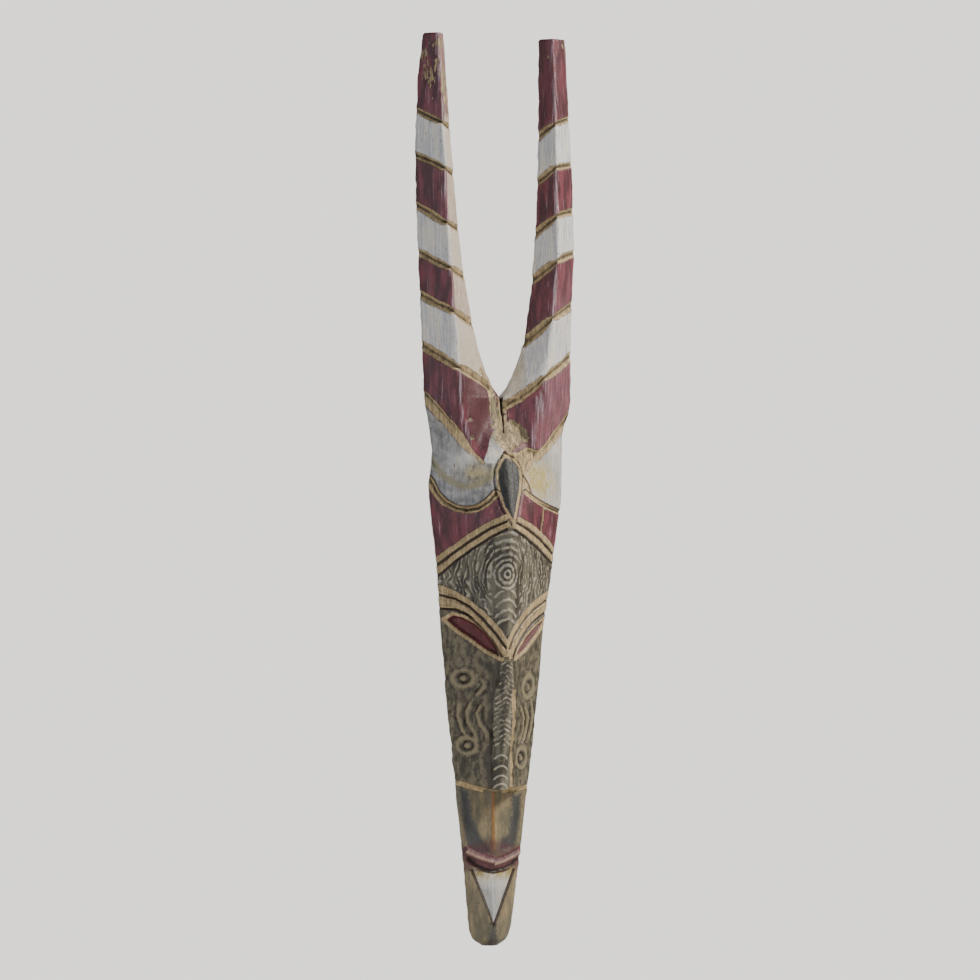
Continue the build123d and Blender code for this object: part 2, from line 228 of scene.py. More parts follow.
# Carved lines below are (x, height) points in mm, square from the front.
hornNotches = dict(
    left=[
        [(-68, 267), (-56, 259.3), (-47.5, 255), (-38, 252)],
        [(-68, 229.3), (-57, 223.5), (-49.5, 218.6), (-34, 213)],
        [(-68, 188), (-57.8, 180.4), (-50, 174), (-33, 168.5)],
        [(-67, 150), (-56, 142.2), (-47, 136.8), (-28, 128.8)],
        [(-65, 114), (-53, 105.7), (-42, 99.9), (-19, 89)],
        [(-64, 72), (-50.7, 62.5), (-38, 53.4), (-23, 46.8), (-5, 37)],
        [(-63, 31), (-50, 14.4), (-38.7, 0.3), (-28.5, -13), (-17, -26)],
    ],
    right=[
        [(36, 243), (42, 251), (48, 256), (66, 261.5)],
        [(35, 206), (41.5, 213), (47, 219.4), (69, 223.3)],
        [(34, 163), (41, 172), (49, 179.6), (70, 184.5)],
        [(30, 124), (40.5, 134.7), (48.5, 142.2), (70, 149.5)],
        [(24, 73.5), (33.7, 83.3), (43, 93.2), (58, 100.7), (68, 106.5)],
        [(2.5, 19), (15.8, 26.8), (25.7, 34.3), (34.6, 42.6), (44, 48.4), (56, 55.9), (67, 65)],
        [(66, 16), (53.7, 1.1), (40.6, -13), (29.7, -22), (16, -30.5)],
    ],
    depth=2.4, width=2.5, widening=0.22,  # each lower notch is wider
    pinch=0.5, pinchReach=2.8,  # narrower over the ridge
    lastTaper=0.65,
)


def notchHorns(x, z, wood):
    # spiral notches of bare wood between bands of maroon and white
    onLeft = wood.onLeft
    pinch = 1 - hornNotches["pinch"] * bell(x, wood.ridge, hornNotches["pinchReach"])
    uneven = 1 + 0.16 * waver(x / 4, z / 9, 5)
    levels = []
    for index, (leftPath, rightPath) in enumerate(zip(hornNotches["left"], hornNotches["right"])):
        fromLeft, share = pathDistance(x, z, leftPath)
        d = np.where(onLeft, fromLeft, pathDistance(x, z, rightPath)[0])
        width = (hornNotches["width"] + hornNotches["widening"] * index) * pinch * uneven
        if leftPath is hornNotches["left"][-1]:
            width = width * (1 - onLeft * hornNotches["lastTaper"] * smoothStep(0.75, 1, share))
        cutTo(wood, gouge(d, width, hornNotches["depth"], 0.8))
        addArea(wood, "raw", width * 0.98 - d)
        levels.append(np.where(onLeft, lineHeight(x, leftPath), lineHeight(x, rightPath)))
    addArea(wood, "red", z - levels[0])
    for index, (upper, lower) in enumerate(zip(levels[:-1], levels[1:])):
        addArea(wood, "red" if index % 2 else "white", np.minimum(upper - z, z - lower))
    wood.levels = levels


bosses = dict(
    leftRim=[(-60, -36), (-56.8, -41), (-52.2, -51.2), (-46.4, -58.7), (-38.7, -63.6), (-30.9, -65.3),
             (-23, -63.6), (-15.7, -58.7), (-9, -51)],
    rightRim=[(17, -50.5), (28.6, -57.8), (40.6, -62.8), (60, -69)],
    innerRim=[(1.2, -18.8), (6.3, -27), (13.6, -35.4), (19.8, -46.2), (22, -54)],
    arc=[(-60, -14), (-54, -27), (-47.8, -36), (-41.2, -42), (-31.8, -46.2), (-22.3, -44.5),
         (-13.8, -38.7), (-6.5, -30.4), (-1, -21)],
    forkWedge=[(-18, -28), (-13, -18), (-8, -4), (-3, 2), (1, -6), (1, -17), (-4, -26), (-10, -34)],
    rimWidth=dict(leftRim=3.1, rightRim=2.3, innerRim=2.3),
    rimDepth=dict(leftRim=3.0, rightRim=2.1, innerRim=2.1),
    arcWidth=3.2, arcDepth=2.6, arcPaint=2.6, ball=5.0,
    swellings=[(-31, -33, 20, 24, 5.5), (34, -36, 18, 22, 4.5)],  # x, height, reach across and up, mm proud
    stains=[(30, -42, 17, 17, 1.5), (-21, -35, 11, 7, 0.8)],
    # glint: where the painted shade on the left boss is lightest, a painted highlight; hollowShade: where it
    # is darkest, in the hollow under the arc
    glint=(-31, -24, 11, 10), hollowShade=(-23, -33, 9, 8),
)


def carveBosses(x, z, wood):
    # a swollen boss at the root of each horn, over a bare rim, its white painted with shade
    below = wood.levels[-1] - z
    leftRim, rightRim, innerRim = (z - lineHeight(x, bosses[name]) for name in bosses["rimWidth"])
    besideLeaf = np.where(x > 1.2, innerRim, -99)
    leftBoss = np.where(x < 1, np.minimum(below, leftRim), -99)
    rightBoss = np.minimum(np.minimum(below, rightRim), np.where(x < 22, besideLeaf, 99))
    boss = np.maximum(leftBoss, np.where(x > 1, rightBoss, -99))
    wedge = within(x, z, bosses["forkWedge"])
    addArea(wood, "white", np.maximum(boss, wedge))
    wood.red = np.where(wedge > 0, -wedge, wood.red)
    for name, width in bosses["rimWidth"].items():
        d, _ = pathDistance(x, z, bosses[name])
        cutTo(wood, gouge(d, width, bosses["rimDepth"][name]))
        addArea(wood, "raw", width * 0.95 - d)
        # a thin dark line just above each rim: partly dark paint, partly painted shade
        addArea(wood, "line", 0.7 - np.abs(d - width * 0.9) - np.where(z > lineHeight(x, bosses[name]), 0, 9))
    d, _ = pathDistance(x, z, bosses["arc"])
    cutTo(wood, gouge(d, bosses["arcWidth"], bosses["arcDepth"]))
    addArea(wood, "ringArc", np.where(x < 1, bosses["arcPaint"] - d, -9))
    for *place, proud in bosses["swellings"]:
        wood.cut -= proud * spot(x, z, *place) * smoothStep(-66, -56, z)
    ball = np.minimum(z - lineHeight(x, bosses["arc"]), -1 - x)
    wood.cut -= bosses["ball"] * smoothStep(-1, 9, ball) * smoothStep(-4, 4, below)
    for *place, strength in bosses["stains"]:
        addArea(wood, "stain", strength * spot(x, z, *place))
    # painted shade on the bosses' white: on the left boss darkest in the hollow under the arc and by the rim,
    # lightest at a painted glint; the right boss a little shaded
    hollowShade = spot(x, z, *bosses["hollowShade"]) + np.exp(-np.maximum(leftRim, 0) / 2.2)
    dull = np.clip(0.85 - 0.6 * spot(x, z, *bosses["glint"]) + 0.6 * hollowShade, 0, 1)
    addArea(wood, "shaded", smoothStep(0, 1, boss) * np.where(x < 1, dull, 0.3 * (x > 1)))
    wood.leftRim, wood.rightRim = leftRim, rightRim


crest = dict(
    chevrons=[
        [(-3, -70.8), (-15, -76.9), (-28.7, -86.9), (-41, -97.7), (-53, -108.5)],
        [(-2.5, -78), (-13.5, -83.6), (-27.2, -94.3), (-38.8, -104.3), (-51, -117.5)],
        [(8.5, -73), (23.4, -79.4), (37.8, -88.5), (52, -101)],
        [(3.4, -78.4), (16.7, -84.6), (32.3, -94), (50, -107.5)],
    ],
    undercuts=[
        [(-3, -74.6), (-14.5, -80.4), (-28, -90.6), (-40, -101), (-53, -113)],
        [(-3, -81), (-13, -87), (-26.5, -97.6), (-38, -107.6), (-51, -121)],
        [(6.5, -76), (20, -82), (35, -90.8), (52, -104.5)],
        [(3.6, -82), (16, -88), (31, -97.6), (50, -111)],
    ],
    score=[(37.2, -62), (33.9, -84)],
    bareChip=[(3, -17), (12, -19), (22, -14), (33, -17), (22, -30), (16, -37), (9, -27)],
    leaf=[(1, -20), (-3.6, -25), (-7, -32), (-7.8, -41), (-6.6, -52), (-4, -63), (3, -77), (8, -62),
          (12, -48.5), (14, -38), (13, -30), (8, -23.5)],
    leafMiddle=[(-77, 3), (-50, 2.6), (-21, 1)],  # height, x
    leafLift=4.0, leafHollow=2.4, leafMoat=1.4, scoreWidth=1.2, chipDepth=1.6,
)


def carveCrest(x, z, wood):
    # maroon band above the chevrons, and the leaf with two hollowed faces inside a bare rim; its right face
    # painted lighter as if lit
    over = np.where(x < 3, z - lineHeight(x, crest["chevrons"][0]), z - lineHeight(x, crest["chevrons"][2]))
    band = np.minimum(over, np.where(x < 1, -wood.leftRim, -wood.rightRim))
    addArea(wood, "red", np.where(z < -20, band, -99))
    d, _ = pathDistance(x, z, crest["score"])
    cutTo(wood, gouge(d, crest["scoreWidth"], 0.8))
    addArea(wood, "raw", 0.9 - d)
    chip = within(x, z, crest["bareChip"])
    cutTo(wood, crest["chipDepth"] * smoothStep(-1, 2.5, chip) + 0.5 * waver(x / 1.6, z / 5, 6) * (chip > 0))
    addArea(wood, "raw", chip + 0.9)
    leaf = within(x, z, crest["leaf"])
    middle = np.interp(z, *zip(*crest["leafMiddle"]))
    across = np.clip(np.abs(x - middle) / 10, 0, 1)
    scoop = crest["leafHollow"] * smoothStep(0.8, 2.6, leaf) * smoothStep(0.02, 0.42, across)
    lift = crest["leafLift"] * smoothStep(-1.4, 0.6, leaf) - scoop
    wood.cut = np.where(leaf > -1.4, -lift, wood.cut) + gouge(np.abs(leaf + 2.2), 1.8, crest["leafMoat"])
    wood.raw = np.where(leaf > -0.6, np.where(x > middle, 1.9, 1.2) - leaf, wood.raw)
    wood.leaf = leaf
    # which face of the leaf a place is on: the right face gets painted light and a painted glint
    wood.leafSide = np.clip((x - middle) / 8, -1, 1)


forehead = dict(
    middle=(-1.1, -118.4), depth=1.25,
    rings=[(2.4, 0.9, 1.0), (6.2, 1.25, 1.0), (9.8, 1.05, 0.9)],  # radius, width, strength
    ringsReach=11.4, archTops=[-131, -139.5, -148, -155.5], archRadius=9, arcPitch=4.9, ripplePitch=2.9,
)
brows = dict(
    fillets=[
        [(-50, -129), (-38.3, -134.2), (-28, -141.7), (-17.9, -152.4), (-9, -164.1), (-2.6, -175.7)],
        [(-50, -141.5), (-38.3, -143.3), (-29.4, -148.3), (-19.3, -159.9), (-10.5, -173.2), (-4.1, -183)],
        [(48, -132.5), (31, -141.5), (17.2, -151), (6.7, -162.6), (-0.9, -174.5)],
        [(47, -144), (29, -153.6), (16.2, -164), (6, -176.5), (2.2, -184)],
    ],
    undercuts=[
        [(-50, -135.4), (-38.3, -138.8), (-28.5, -145), (-18.6, -156), (-9.8, -168.6), (-3.2, -179)],
        [(48, -138.5), (30, -147.5), (16.7, -157.5), (6, -169.5), (0.6, -180)],
        [(-49, -147), (-38, -147.6), (-29.6, -152), (-20, -162.6), (-11.5, -175.5), (-6.2, -186)],
        [(46, -149), (29, -158.2), (17, -168), (8, -180), (5, -188)],
    ],
    eyes=[
        [(-45.2, -156), (-39.6, -151.6), (-32.8, -153.5), (-24.7, -158.4), (-16.6, -166.8),
         (-10.5, -177.3), (-6.2, -188.6), (-17.2, -181.5), (-26.7, -173.2), (-36.1, -165.7)],
        [(42.5, -155.6), (29.5, -163), (18.7, -171.5), (10.8, -180.5), (7.4, -188.4), (18.9, -181.2),
         (28.5, -172.8), (38.5, -163.6)],
    ],
    proud=1.5, filletWidth=2.3, underCut=1.9, underCutWidth=1.7, eyeDepth=3.6, eyeRim=2.2,
)


def carveForehead(x, z, wood):
    # rings about a boss, arcs stacked over it, arches under it, ripples out to both temples
    top = np.where(x < 3, lineHeight(x, crest["chevrons"][1]) - z, lineHeight(x, crest["chevrons"][3]) - z)
    bottom = np.where(x < -1, z - lineHeight(x, brows["fillets"][0]), z - lineHeight(x, brows["fillets"][2]))
    inside = np.minimum(top - 1.6, bottom - 1.2)
    drift = 1.1 * waver(x / 5.2, z / 5.2, 12)
    u, v = x - forehead["middle"][0], (z - forehead["middle"][1]) * 0.82
    r = np.hypot(u, v)
    strokes = [bell(r, radius, width) * strength for radius, width, strength in forehead["rings"]]
    rings = np.max(strokes, axis=0) * 1.9 - 0.55
    arcs = np.cos(2 * np.pi * (np.hypot(u, v + 3) + drift * 0.5 - 1.4) / forehead["arcPitch"])
    arches = np.full(x.shape, -0.8)
    for level in forehead["archTops"]:
        bow = np.hypot(u * 0.95, z - level + forehead["archRadius"]) - forehead["archRadius"]
        arches = np.maximum(arches, bell(bow, 0, 1.5) * (z > level - 7) * 1.9 - 0.8)
    sway = np.hypot(np.abs(u) + 4, v * 0.75) + drift + 1.5 * waver(x / 3.1, z / 7, 13)
    ripples = np.cos(2 * np.pi * sway / forehead["ripplePitch"]) * 0.85
    wing = smoothStep(10.5, 12.5, np.abs(u) + 1.5 * (v > 0))
    pattern = np.where(v > 0, arcs, arches) * (1 - wing) + ripples * wing
    pattern = np.where(r < forehead["ringsReach"], rings, pattern)
    chip = waver(x / 1.7, z / 1.7, 11)
    fade = smoothStep(0, 2.5, inside)
    crestHeight = (pattern * (0.78 + 0.3 * chip) + 0.3 * chip) * fade
    wood.cut += forehead["depth"] * (0.55 - 0.5 * crestHeight) * fade
    wood.forehead, wood.foreheadCrest = inside, crestHeight


def carveFilletsAndEyes(x, z, wood):
    # chevrons and brows in pairs of rounded fillets with dark undercuts, and leaf-shaped sunk eyes
    wobble = handWobble(x, z)
    for path in crest["chevrons"] + brows["fillets"]:
        d, _ = pathDistance(x, z, path)
        width = brows["filletWidth"] * (1 + 0.12 * wobble)
        proud = brows["proud"] * np.sqrt(np.clip(1 - (d / width) ** 2, 0, 1))
        wood.cut = np.where(d < width, np.minimum(wood.cut, 0.4 - proud), wood.cut)
        addArea(wood, "raw", 2.1 + 0.5 * wobble - d)
    for path in crest["undercuts"] + brows["undercuts"]:
        d, _ = pathDistance(x, z, path)
        width = brows["underCutWidth"] * (1 + 0.3 * wobble)
        cutTo(wood, gouge(d, width, brows["underCut"]))
        # the undercut painted dark: partly dark paint, partly painted shade in the groove
        addArea(wood, "line", width * 0.62 - d)
    for outline in brows["eyes"]:
        s = within(x, z, outline)
        rim = s > -brows["eyeRim"]
        sunk = np.where(s > 0, brows["eyeDepth"] * smoothStep(-0.3, 3.0, s), -0.6 * smoothStep(-2.2, -1.0, s))
        wood.cut = np.where(rim, sunk, wood.cut)
        wood.raw = np.where(rim, np.minimum(s + 2.0, 0.9 - s), wood.raw)
        addArea(wood, "red", s - 0.9)
        addArea(wood, "eye", s)


cheeks = dict(
    rings=[  # x, height, half width, half height, tilt, how pear-shaped
        (-31.7, -204.7, 8.6, 8.4, 0.0, 0), (-27.5, -260.6, 8.0, 8.4, -0.1, 0),
        (24.3, -212.6, 8.0, 10.8, 0.05, 0.12), (19.1, -271.6, 7.4, 10.2, -0.05, 0.12),
    ],
    waves=[
        [(-33.6, -224), (-34.4, -236), (-31.6, -246), (-28.8, -252.5)],
        [(-24.6, -222), (-28.4, -232), (-27.4, -241), (-23.6, -248), (-20.4, -256)],
        [(-18.2, -224), (-21.6, -233.8), (-19, -242.9), (-14.8, -249.6), (-13.4, -259)],
        [(-19.5, -205), (-17, -209), (-19, -214), (-23, -219)],
        [(15.6, -226), (20.4, -238), (19.4, -250), (15.2, -259)],
        [(21.4, -227), (25.8, -238), (23.4, -250), (20.4, -259)],
        [(28.4, -223), (31.6, -236), (29.6, -248), (26, -258)],
    ],
    ringProud=1.4, wellDepth=1.9, moatDepth=1.0, pupilProud=0.7, waveProud=1.0, gullyDepth=1.3,
)


def carveCheeks(x, z, wood):
    # two open rings on each cheek, with raised waves between them
    wobble = handWobble(x, z)
    leftBrow, rightBrow = (lineHeight(x, path) for path in brows["undercuts"][2:])
    wood.cheek = np.minimum(wood.border, np.where(x < 0, leftBrow, rightBrow) - z)
    for middleX, middleZ, wide, tall, tilt, pear in cheeks["rings"]:
        across = (x - middleX) * math.cos(tilt) - (z - middleZ) * math.sin(tilt)
        up = (x - middleX) * math.sin(tilt) + (z - middleZ) * math.cos(tilt)
        q = np.hypot(across / wide, up / tall) + pear * np.minimum(np.abs(up / tall), 1.2) ** 2 * np.sign(-up)
        rim = bell(q, 0.8, 0.24) * (0.8 + 0.35 * wobble)
        well, pupil = bell(q, 0.42, 0.17), bell(q, 0, 0.26)
        moat = bell(q, 1.22, 0.13) * (0.75 + 0.5 * wobble)
        proud = cheeks["ringProud"] * rim + cheeks["pupilProud"] * pupil
        wood.cut = wood.cut - proud + cheeks["wellDepth"] * well + cheeks["moatDepth"] * moat
        wood.crest = np.maximum(wood.crest, np.maximum(rim, 0.8 * pupil)) - well - 0.5 * moat
    for path in cheeks["waves"]:
        d, share = pathDistance(x, z, path)
        ends = smoothStep(0, 0.15, share) * smoothStep(1, 0.85, share)
        body = bell(d, 0, 1.2) * (0.35 + 0.5 * ends + 0.35 * wobble)
        gully = bell(d, 2.5, 1.0) * (0.3 + 0.7 * ends)
        wood.cut = wood.cut - cheeks["waveProud"] * body + cheeks["gullyDepth"] * gully
        wood.crest = np.maximum(wood.crest, body) - 0.7 * gully


noseCarving = dict(
    left=[(-7.4, -190), (-11.2, -223), (-12, -256), (-10, -297)],
    right=[(6.4, -190), (7.8, -223), (9.2, -240), (7.6, -262), (9.2, -297)],
    arcs=[(-3.6, -268, 6.4), (-3.4, -277, 6.6), (-3.2, -285, 7.0), (-3.0, -292, 7.4)],  # x, height, radius
    arcsBelow=(-260, -263), beadPitch=4.4, depth=1.25, edgeDepth=1.2,
)


def carveNose(x, z, wood):
    # beads down the nose, arcs at its lower end, and a bare ledge where nose and cheeks end
    wobble, border = handWobble(x, z), wood.border
    nose = np.minimum(within(x, z, noseCarving["left"] + noseCarving["right"][::-1]), border)
    left, right = (pathDistance(x, z, noseCarving[side])[0] for side in ("left", "right"))
    wood.cut += noseCarving["edgeDepth"] * (bell(left, 0, 1.4) + bell(right, 0, 1.4))
    addArea(wood, "line", 0.2 + 1.3 * wobble - left)
    wood.crest = wood.crest - (0.55 + 0.8 * wobble) * bell(left, 0, 3.6)
    addArea(wood, "raw", np.where(z < -214, 1.0 + 0.9 * wobble - np.abs(right - 0.6), -9))
    slant = z + 0.55 * np.abs(x + 2) + 1.6 * waver(x / 3, z / 4, 14)
    beads = np.cos(2 * np.pi * slant / noseCarving["beadPitch"]) * (0.7 + 0.5 * waver(x / 2.4, z / 3.2, 15))
    bows = np.full(x.shape, -0.5)
    for middleX, topZ, radius in noseCarving["arcs"]:
        bow = np.hypot((x - middleX) * 0.9, z - topZ + radius * 0.8) - radius * 0.8
        bows = np.maximum(bows, bell(bow, 0, 1.0) * (z > topZ - radius * 0.55) * 1.8 - 0.5)
    low = smoothStep(*noseCarving["arcsBelow"], z)
    pattern = (beads + 0.45 * waver(x / 1.7, z / 1.7, 11)) * (1 - low) + bows * low
    wood.cut += noseCarving["depth"] * (0.35 - 0.45 * pattern) * smoothStep(0.2, 1.6, nose)
    wood.crest = np.where(nose > 0.4, 0.8 * pattern, wood.crest)
    wood.crest = np.where(wood.forehead > 0, wood.foreheadCrest, wood.crest)
    fromRidge = np.abs(x - curve["ridgeX"](z))
    wood.cut += gouge(np.abs(border), 1.6, 0.9) * (fromRidge > 9)
    addArea(wood, "raw", np.where(fromRidge > 8, 2.0 - np.abs(border + 1.6), -9))
    wood.dark = np.maximum(wood.forehead, nose)


mouth = dict(
    patches=[
        [(-30, -297), (-24, -299), (-21, -322), (-14, -337), (-4.8, -350), (-14, -353), (-22.6, -349),
         (-27, -325)],
        [(10, -300), (24.5, -300), (22.6, -327), (19, -349), (9, -352), (0, -352), (2.4, -338),
         (8.5, -334), (12, -318)],
    ],
    patchGrowth=(0.6, -2.2), patchDepth=0.9,
    lips=[
        [(-23.5, -349.6), (-17, -353.2), (-10, -356), (-4, -357.8)],
        [(21.5, -350), (15, -353.6), (7, -357), (-1.5, -359.4)],
    ],
    underLip=[(-22.9, -355), (-17.4, -360.4), (-10.3, -363.6), (-2.9, -365.2), (7.1, -363.8),
              (14.7, -360.8), (20.3, -355)],
    chinField=[(-21.5, -361.5), (-10, -366), (-2.9, -367.4), (8, -365.8), (18.2, -361), (-2.4, -411)],
    chinMark=[(-4.6, -409), (0, -409), (0.8, -428.5), (-6.4, -428.5)],
    lipHalfWidth=2.9, lipProud=2.0, underLipWidth=2.8, underLipDepth=2.4, chinDepth=1.2, markDepth=0.6,
    amberLine=(-300, -349), stainTop=-358, shadeFrom=(-372, -385),
)


def carveMouth(x, z, wood):
    # dark patches on the muzzle, a lip over a maroon groove, and the white chin field with painted shade
    # towards its foot
    patches = [within(x, z, outline) + more for outline, more in zip(mouth["patches"], mouth["patchGrowth"])]
    patch = np.maximum(*patches)
    wood.cut += mouth["patchDepth"] * smoothStep(-1, 4, patch)
    for path in mouth["lips"]:
        addArea(wood, "lip", mouth["lipHalfWidth"] - pathDistance(x, z, path)[0])
    lip = wood.lip
    wood.cut = np.where(lip > -0.4, -mouth["lipProud"] * smoothStep(-0.4, 2.6, lip), wood.cut)
    d, _ = pathDistance(x, z, mouth["underLip"])
    groove = np.maximum(wood.cut, gouge(d, mouth["underLipWidth"], mouth["underLipDepth"]))
    wood.cut = np.where(lip < -0.4, groove, wood.cut)
    addArea(wood, "red", np.where(lip < 0.2, mouth["lipHalfWidth"] - d, -9))
    addArea(wood, "line", np.where(lip < -0.2, 0.7 - np.abs(d - 0.4), -9))
    addArea(wood, "red", np.minimum(lip + 1.6, 1.5 - lip))
    amberTop, amberFoot = mouth["amberLine"]
    wood.amber = 1.7 - np.abs(x - curve["ridgeX"](z)) - 9 * (z > amberTop) - 9 * (z < amberFoot)
    wood.muzzle = smoothStep(0.5, -1.5, wood.border)
    wood.smear = np.minimum(z + 366, -339 - z - 0.28 * np.abs(x + 2.9))
    chin = within(x, z, mouth["chinField"])
    wood.cut += mouth["chinDepth"] * smoothStep(-0.4, 0.6, chin) + gouge(np.abs(chin), 1.1, 0.7) * (z < -364)
    addArea(wood, "line", np.where(z < -363, 0.95 - np.abs(chin + 0.2), -9))
    addArea(wood, "white", chin)
    addArea(wood, "stain", 1.3 * smoothStep(-378, -364, z) * (z < mouth["stainTop"]))
    # painted shade: the chin field darker towards its foot
    addArea(wood, "shaded", 0.45 * smoothStep(0, 1, chin) * smoothStep(*mouth["shadeFrom"], z))
    mark = within(x, z, mouth["chinMark"])
    wood.cut += mouth["markDepth"] * smoothStep(-0.6, 1.0, mark)
    wood.patch = np.maximum(patch, mark + 0.5)
    wood.lowEnd = smoothStep(-420, -427, z)


wear = dict(
    toolMark=0.34,  # depth of knife facets, in mm
    # where paint is rubbed off: x, height, half width, half height, strength
    spots=[(-50, 322, 9, 7, 0.74), (-45, 288, 5, 24, 0.92), (-58, 296, 6, 16, 0.84), (-61, 313, 4, 9, 0.7),
           (-52, 305, 6, 7, 0.7), (-27, 10, 3.5, 2.5, 0.95), (-25, -5, 3, 2.2, 0.95), (62, 322, 8, 8, 0.6),
           (-1, 22, 6, 7, 0.6), (45, 312, 10, 8, 0.35), (30, -40, 9, 10, 0.35), (-40, -30, 9, 10, 0.3)],
    splinter=[(-12, 50), (-7, 38), (-4, 24), (-2, 8), (-3, -6)],
    splitWood=[(-5, -4), (-3, 8), (-1, 22), (5, 25), (6.5, 10), (12, 8), (19, 3), (23, -6), (13, -12),
               (5, -16), (-1, -13)],
    crack=[(4.3, 28), (3.8, 18), (4.4, 8), (3.6, 0)],
    # ridgeRub: reach of the band along the ridges, for rubbed paint and a painted sheen
    crackWidth=1.5, crackDepth=4.5, flakeDepth=0.8, ridgeRub=2.6,
)


def wearWood(x, z, wood):
    # knife facets everywhere, rubbed ridges with a painted sheen, inner facets paled by wear and painted
    # glare, split wood, a crack by the fork, and painted light and shade on the horn facets
    onLeft, fromRidge = wood.onLeft, x - wood.ridge
    wood.cut += wear["toolMark"] * (waver(x / 5.5, z / 16, 21) + 0.5 * waver(x / 2.6, z / 7, 22))
    # a band along each horn's ridge: paint rubbed off there, and a painted sheen
    wood.rubbed = bell(fromRidge, 0, wear["ridgeRub"]) * smoothStep(-66, -40, z)
    # the left horn's inner facet, paled: partly worn paint, partly painted glare from the light on that side
    besideRidge = onLeft * smoothStep(0.5, 2.5, fromRidge) * smoothStep(0, 2, z - wood.levels[5])
    wood.innerFacet = besideRidge * (1 - 0.7 * smoothStep(256, 266, z))
    for *place, strength in wear["spots"]:
        addArea(wood, "worn", strength * spot(x, z, *place))
    addArea(wood, "worn", 1.1 * bell(pathDistance(x, z, wear["splinter"])[0], 0, 4.5))
    split = within(x, z, wear["splitWood"])
    addArea(wood, "worn", 1.05 * smoothStep(-3.5, 0.5, split + 1.5 * waver(x / 1.5, z / 6, 52)))
    wood.cut += (0.4 * waver(x / 2.4, z / 14, 53) + 0.6) * smoothStep(-1, 2, split)
    flaked = smoothStep(0.55, 0.8, wood.worn + 0.25 * waver(x / 2.2, z / 6, 51))
    wood.cut += wear["flakeDepth"] * flaked
    crack, share = pathDistance(x, z, wear["crack"])
    width = wear["crackWidth"] * (1 - 0.7 * share)
    opened = np.maximum(wood.cut, wear["crackDepth"] * (1 - crack / width))
    wood.cut = np.where(crack < width, opened, wood.cut)
    addArea(wood, "line", width - crack)
    addArea(wood, "stain", 0.5 * bell(z, 60, 60) * (np.abs(x) < 24))
    # painted highlight: the right horn's outer facets lighter, as lit, from below the boss up to the middle
    # bands
    wood.litFacet = ~onLeft * smoothStep(0, 3, fromRidge) * smoothStep(-50, 0, z) * smoothStep(180, 40, z)
    # painted shade: the right horn's tip and the left horn's inner facet above the fork made darker
    addArea(wood, "shaded", 0.4 * ~onLeft * smoothStep(262, 270, z))
    forkShade = smoothStep(-20, -5, z) * smoothStep(80, 60, z)
    addArea(wood, "shaded", onLeft * smoothStep(1, 5, fromRidge) * forkShade)


def carve(x, z):
    # depth cut away (in mm, negative where wood stands proud) and what paint each place carries
    wood = SimpleNamespace(**{name: np.full(x.shape, value) for name, value in plainWood.items()})
    wood.onLeft = x < curve["ridgeX"](np.minimum(z, fork))
    wood.ridge = np.where(wood.onLeft, curve["leftRidge"](z), curve["rightRidge"](z))
    wood.border = z - noseBorder(x, z)
    for step in (notchHorns, carveBosses, carveCrest, carveForehead, carveFilletsAndEyes,
                 carveCheeks, carveNose, carveMouth, wearWood):
        step(x, z, wood)
    leaf = wood.leaf
    addArea(wood, "dark", np.where(leaf > 0, leaf - 0.8, -9))
    for name in ("red", "white"):
        setattr(wood, name, np.where(leaf > -0.6, -9, getattr(wood, name)))
    return wood


def backDepth(x, z):
    # depth of the hollow in the back, and of the pocket that the hanger sits in
    left, right = curve["leftEdge"](z) + hollow["sideWall"], curve["rightEdge"](z) - hollow["sideWall"]
    sides = np.minimum(x - left, right - x) * hollow["sideSlope"]
    slope = np.minimum(sides, np.minimum(z - hollow["sill"], hollow["ceiling"] - z) * hollow["endSlope"])
    floor = frontDepth(x * 0.86, z) - hollow["faceWall"] - 0.10 * np.abs(x)
    scallops = np.abs(np.sin(x / 3.4 + 1.5 * waver(x / 30, z / 30, 32)))
    gouges = 0.55 * waver(x / 6.5, z / 21, 31) + 0.3 * scallops
    scooped = np.maximum(-softMax(-slope, -floor, 3.0) - gouges * smoothStep(0, 5, slope), 0)
    past = np.maximum(pocket["foot"] - z, z - pocket["top"])
    inPocket = np.maximum(past, np.abs(x) - pocket["halfWidth"]) < 0.1
    return np.where(inPocket, pocket["depth"], scooped)


tips = dict(left=331.0, right=327.4)
meshing = dict(sideSteps=4, backInset=5.0, pocketRim=0.2, cavityRounds=6, hornColumns=59, hornPitch=1.1,
               backMiddle=14, endWear=1.2, sharpAngle=52)
headBands = [  # from height, to height, row pitch, columns each side of the ridge
    (-428, -352, 1.0, 30), (-352, -301, 1.0, 36), (-301, -287, 0.5, 46), (-287, -190, 0.75, 55),
    (-190, -84, 0.66, 72), (-84, 28, 0.9, 59),
]


def rowHeights(low, high, pitch):
    return np.linspace(low, high, int(round((high - low) / pitch)) + 1)


def frontRows():
    # every row across the front, bottom to top: head rows, then each horn's rows
    rows = []
    for low, high, pitch, half in headBands:
        heights = set(np.round(rowHeights(low, high, pitch), 3)[:-1])
        for edge in (pocket["foot"], pocket["top"]):
            if low <= edge < high:
                heights |= {edge, edge + math.copysign(meshing["pocketRim"], edge)}
        rows += [("head", height, half) for height in sorted(heights)]
    rows.append(("head", fork, meshing["hornColumns"]))
    for side, top in tips.items():
        heights = rowHeights(fork, top - meshing["endWear"], meshing["hornPitch"])[1:].tolist()
        rows += [(side, height, meshing["hornColumns"]) for height in heights + [top - 0.5, top]]
    return rows


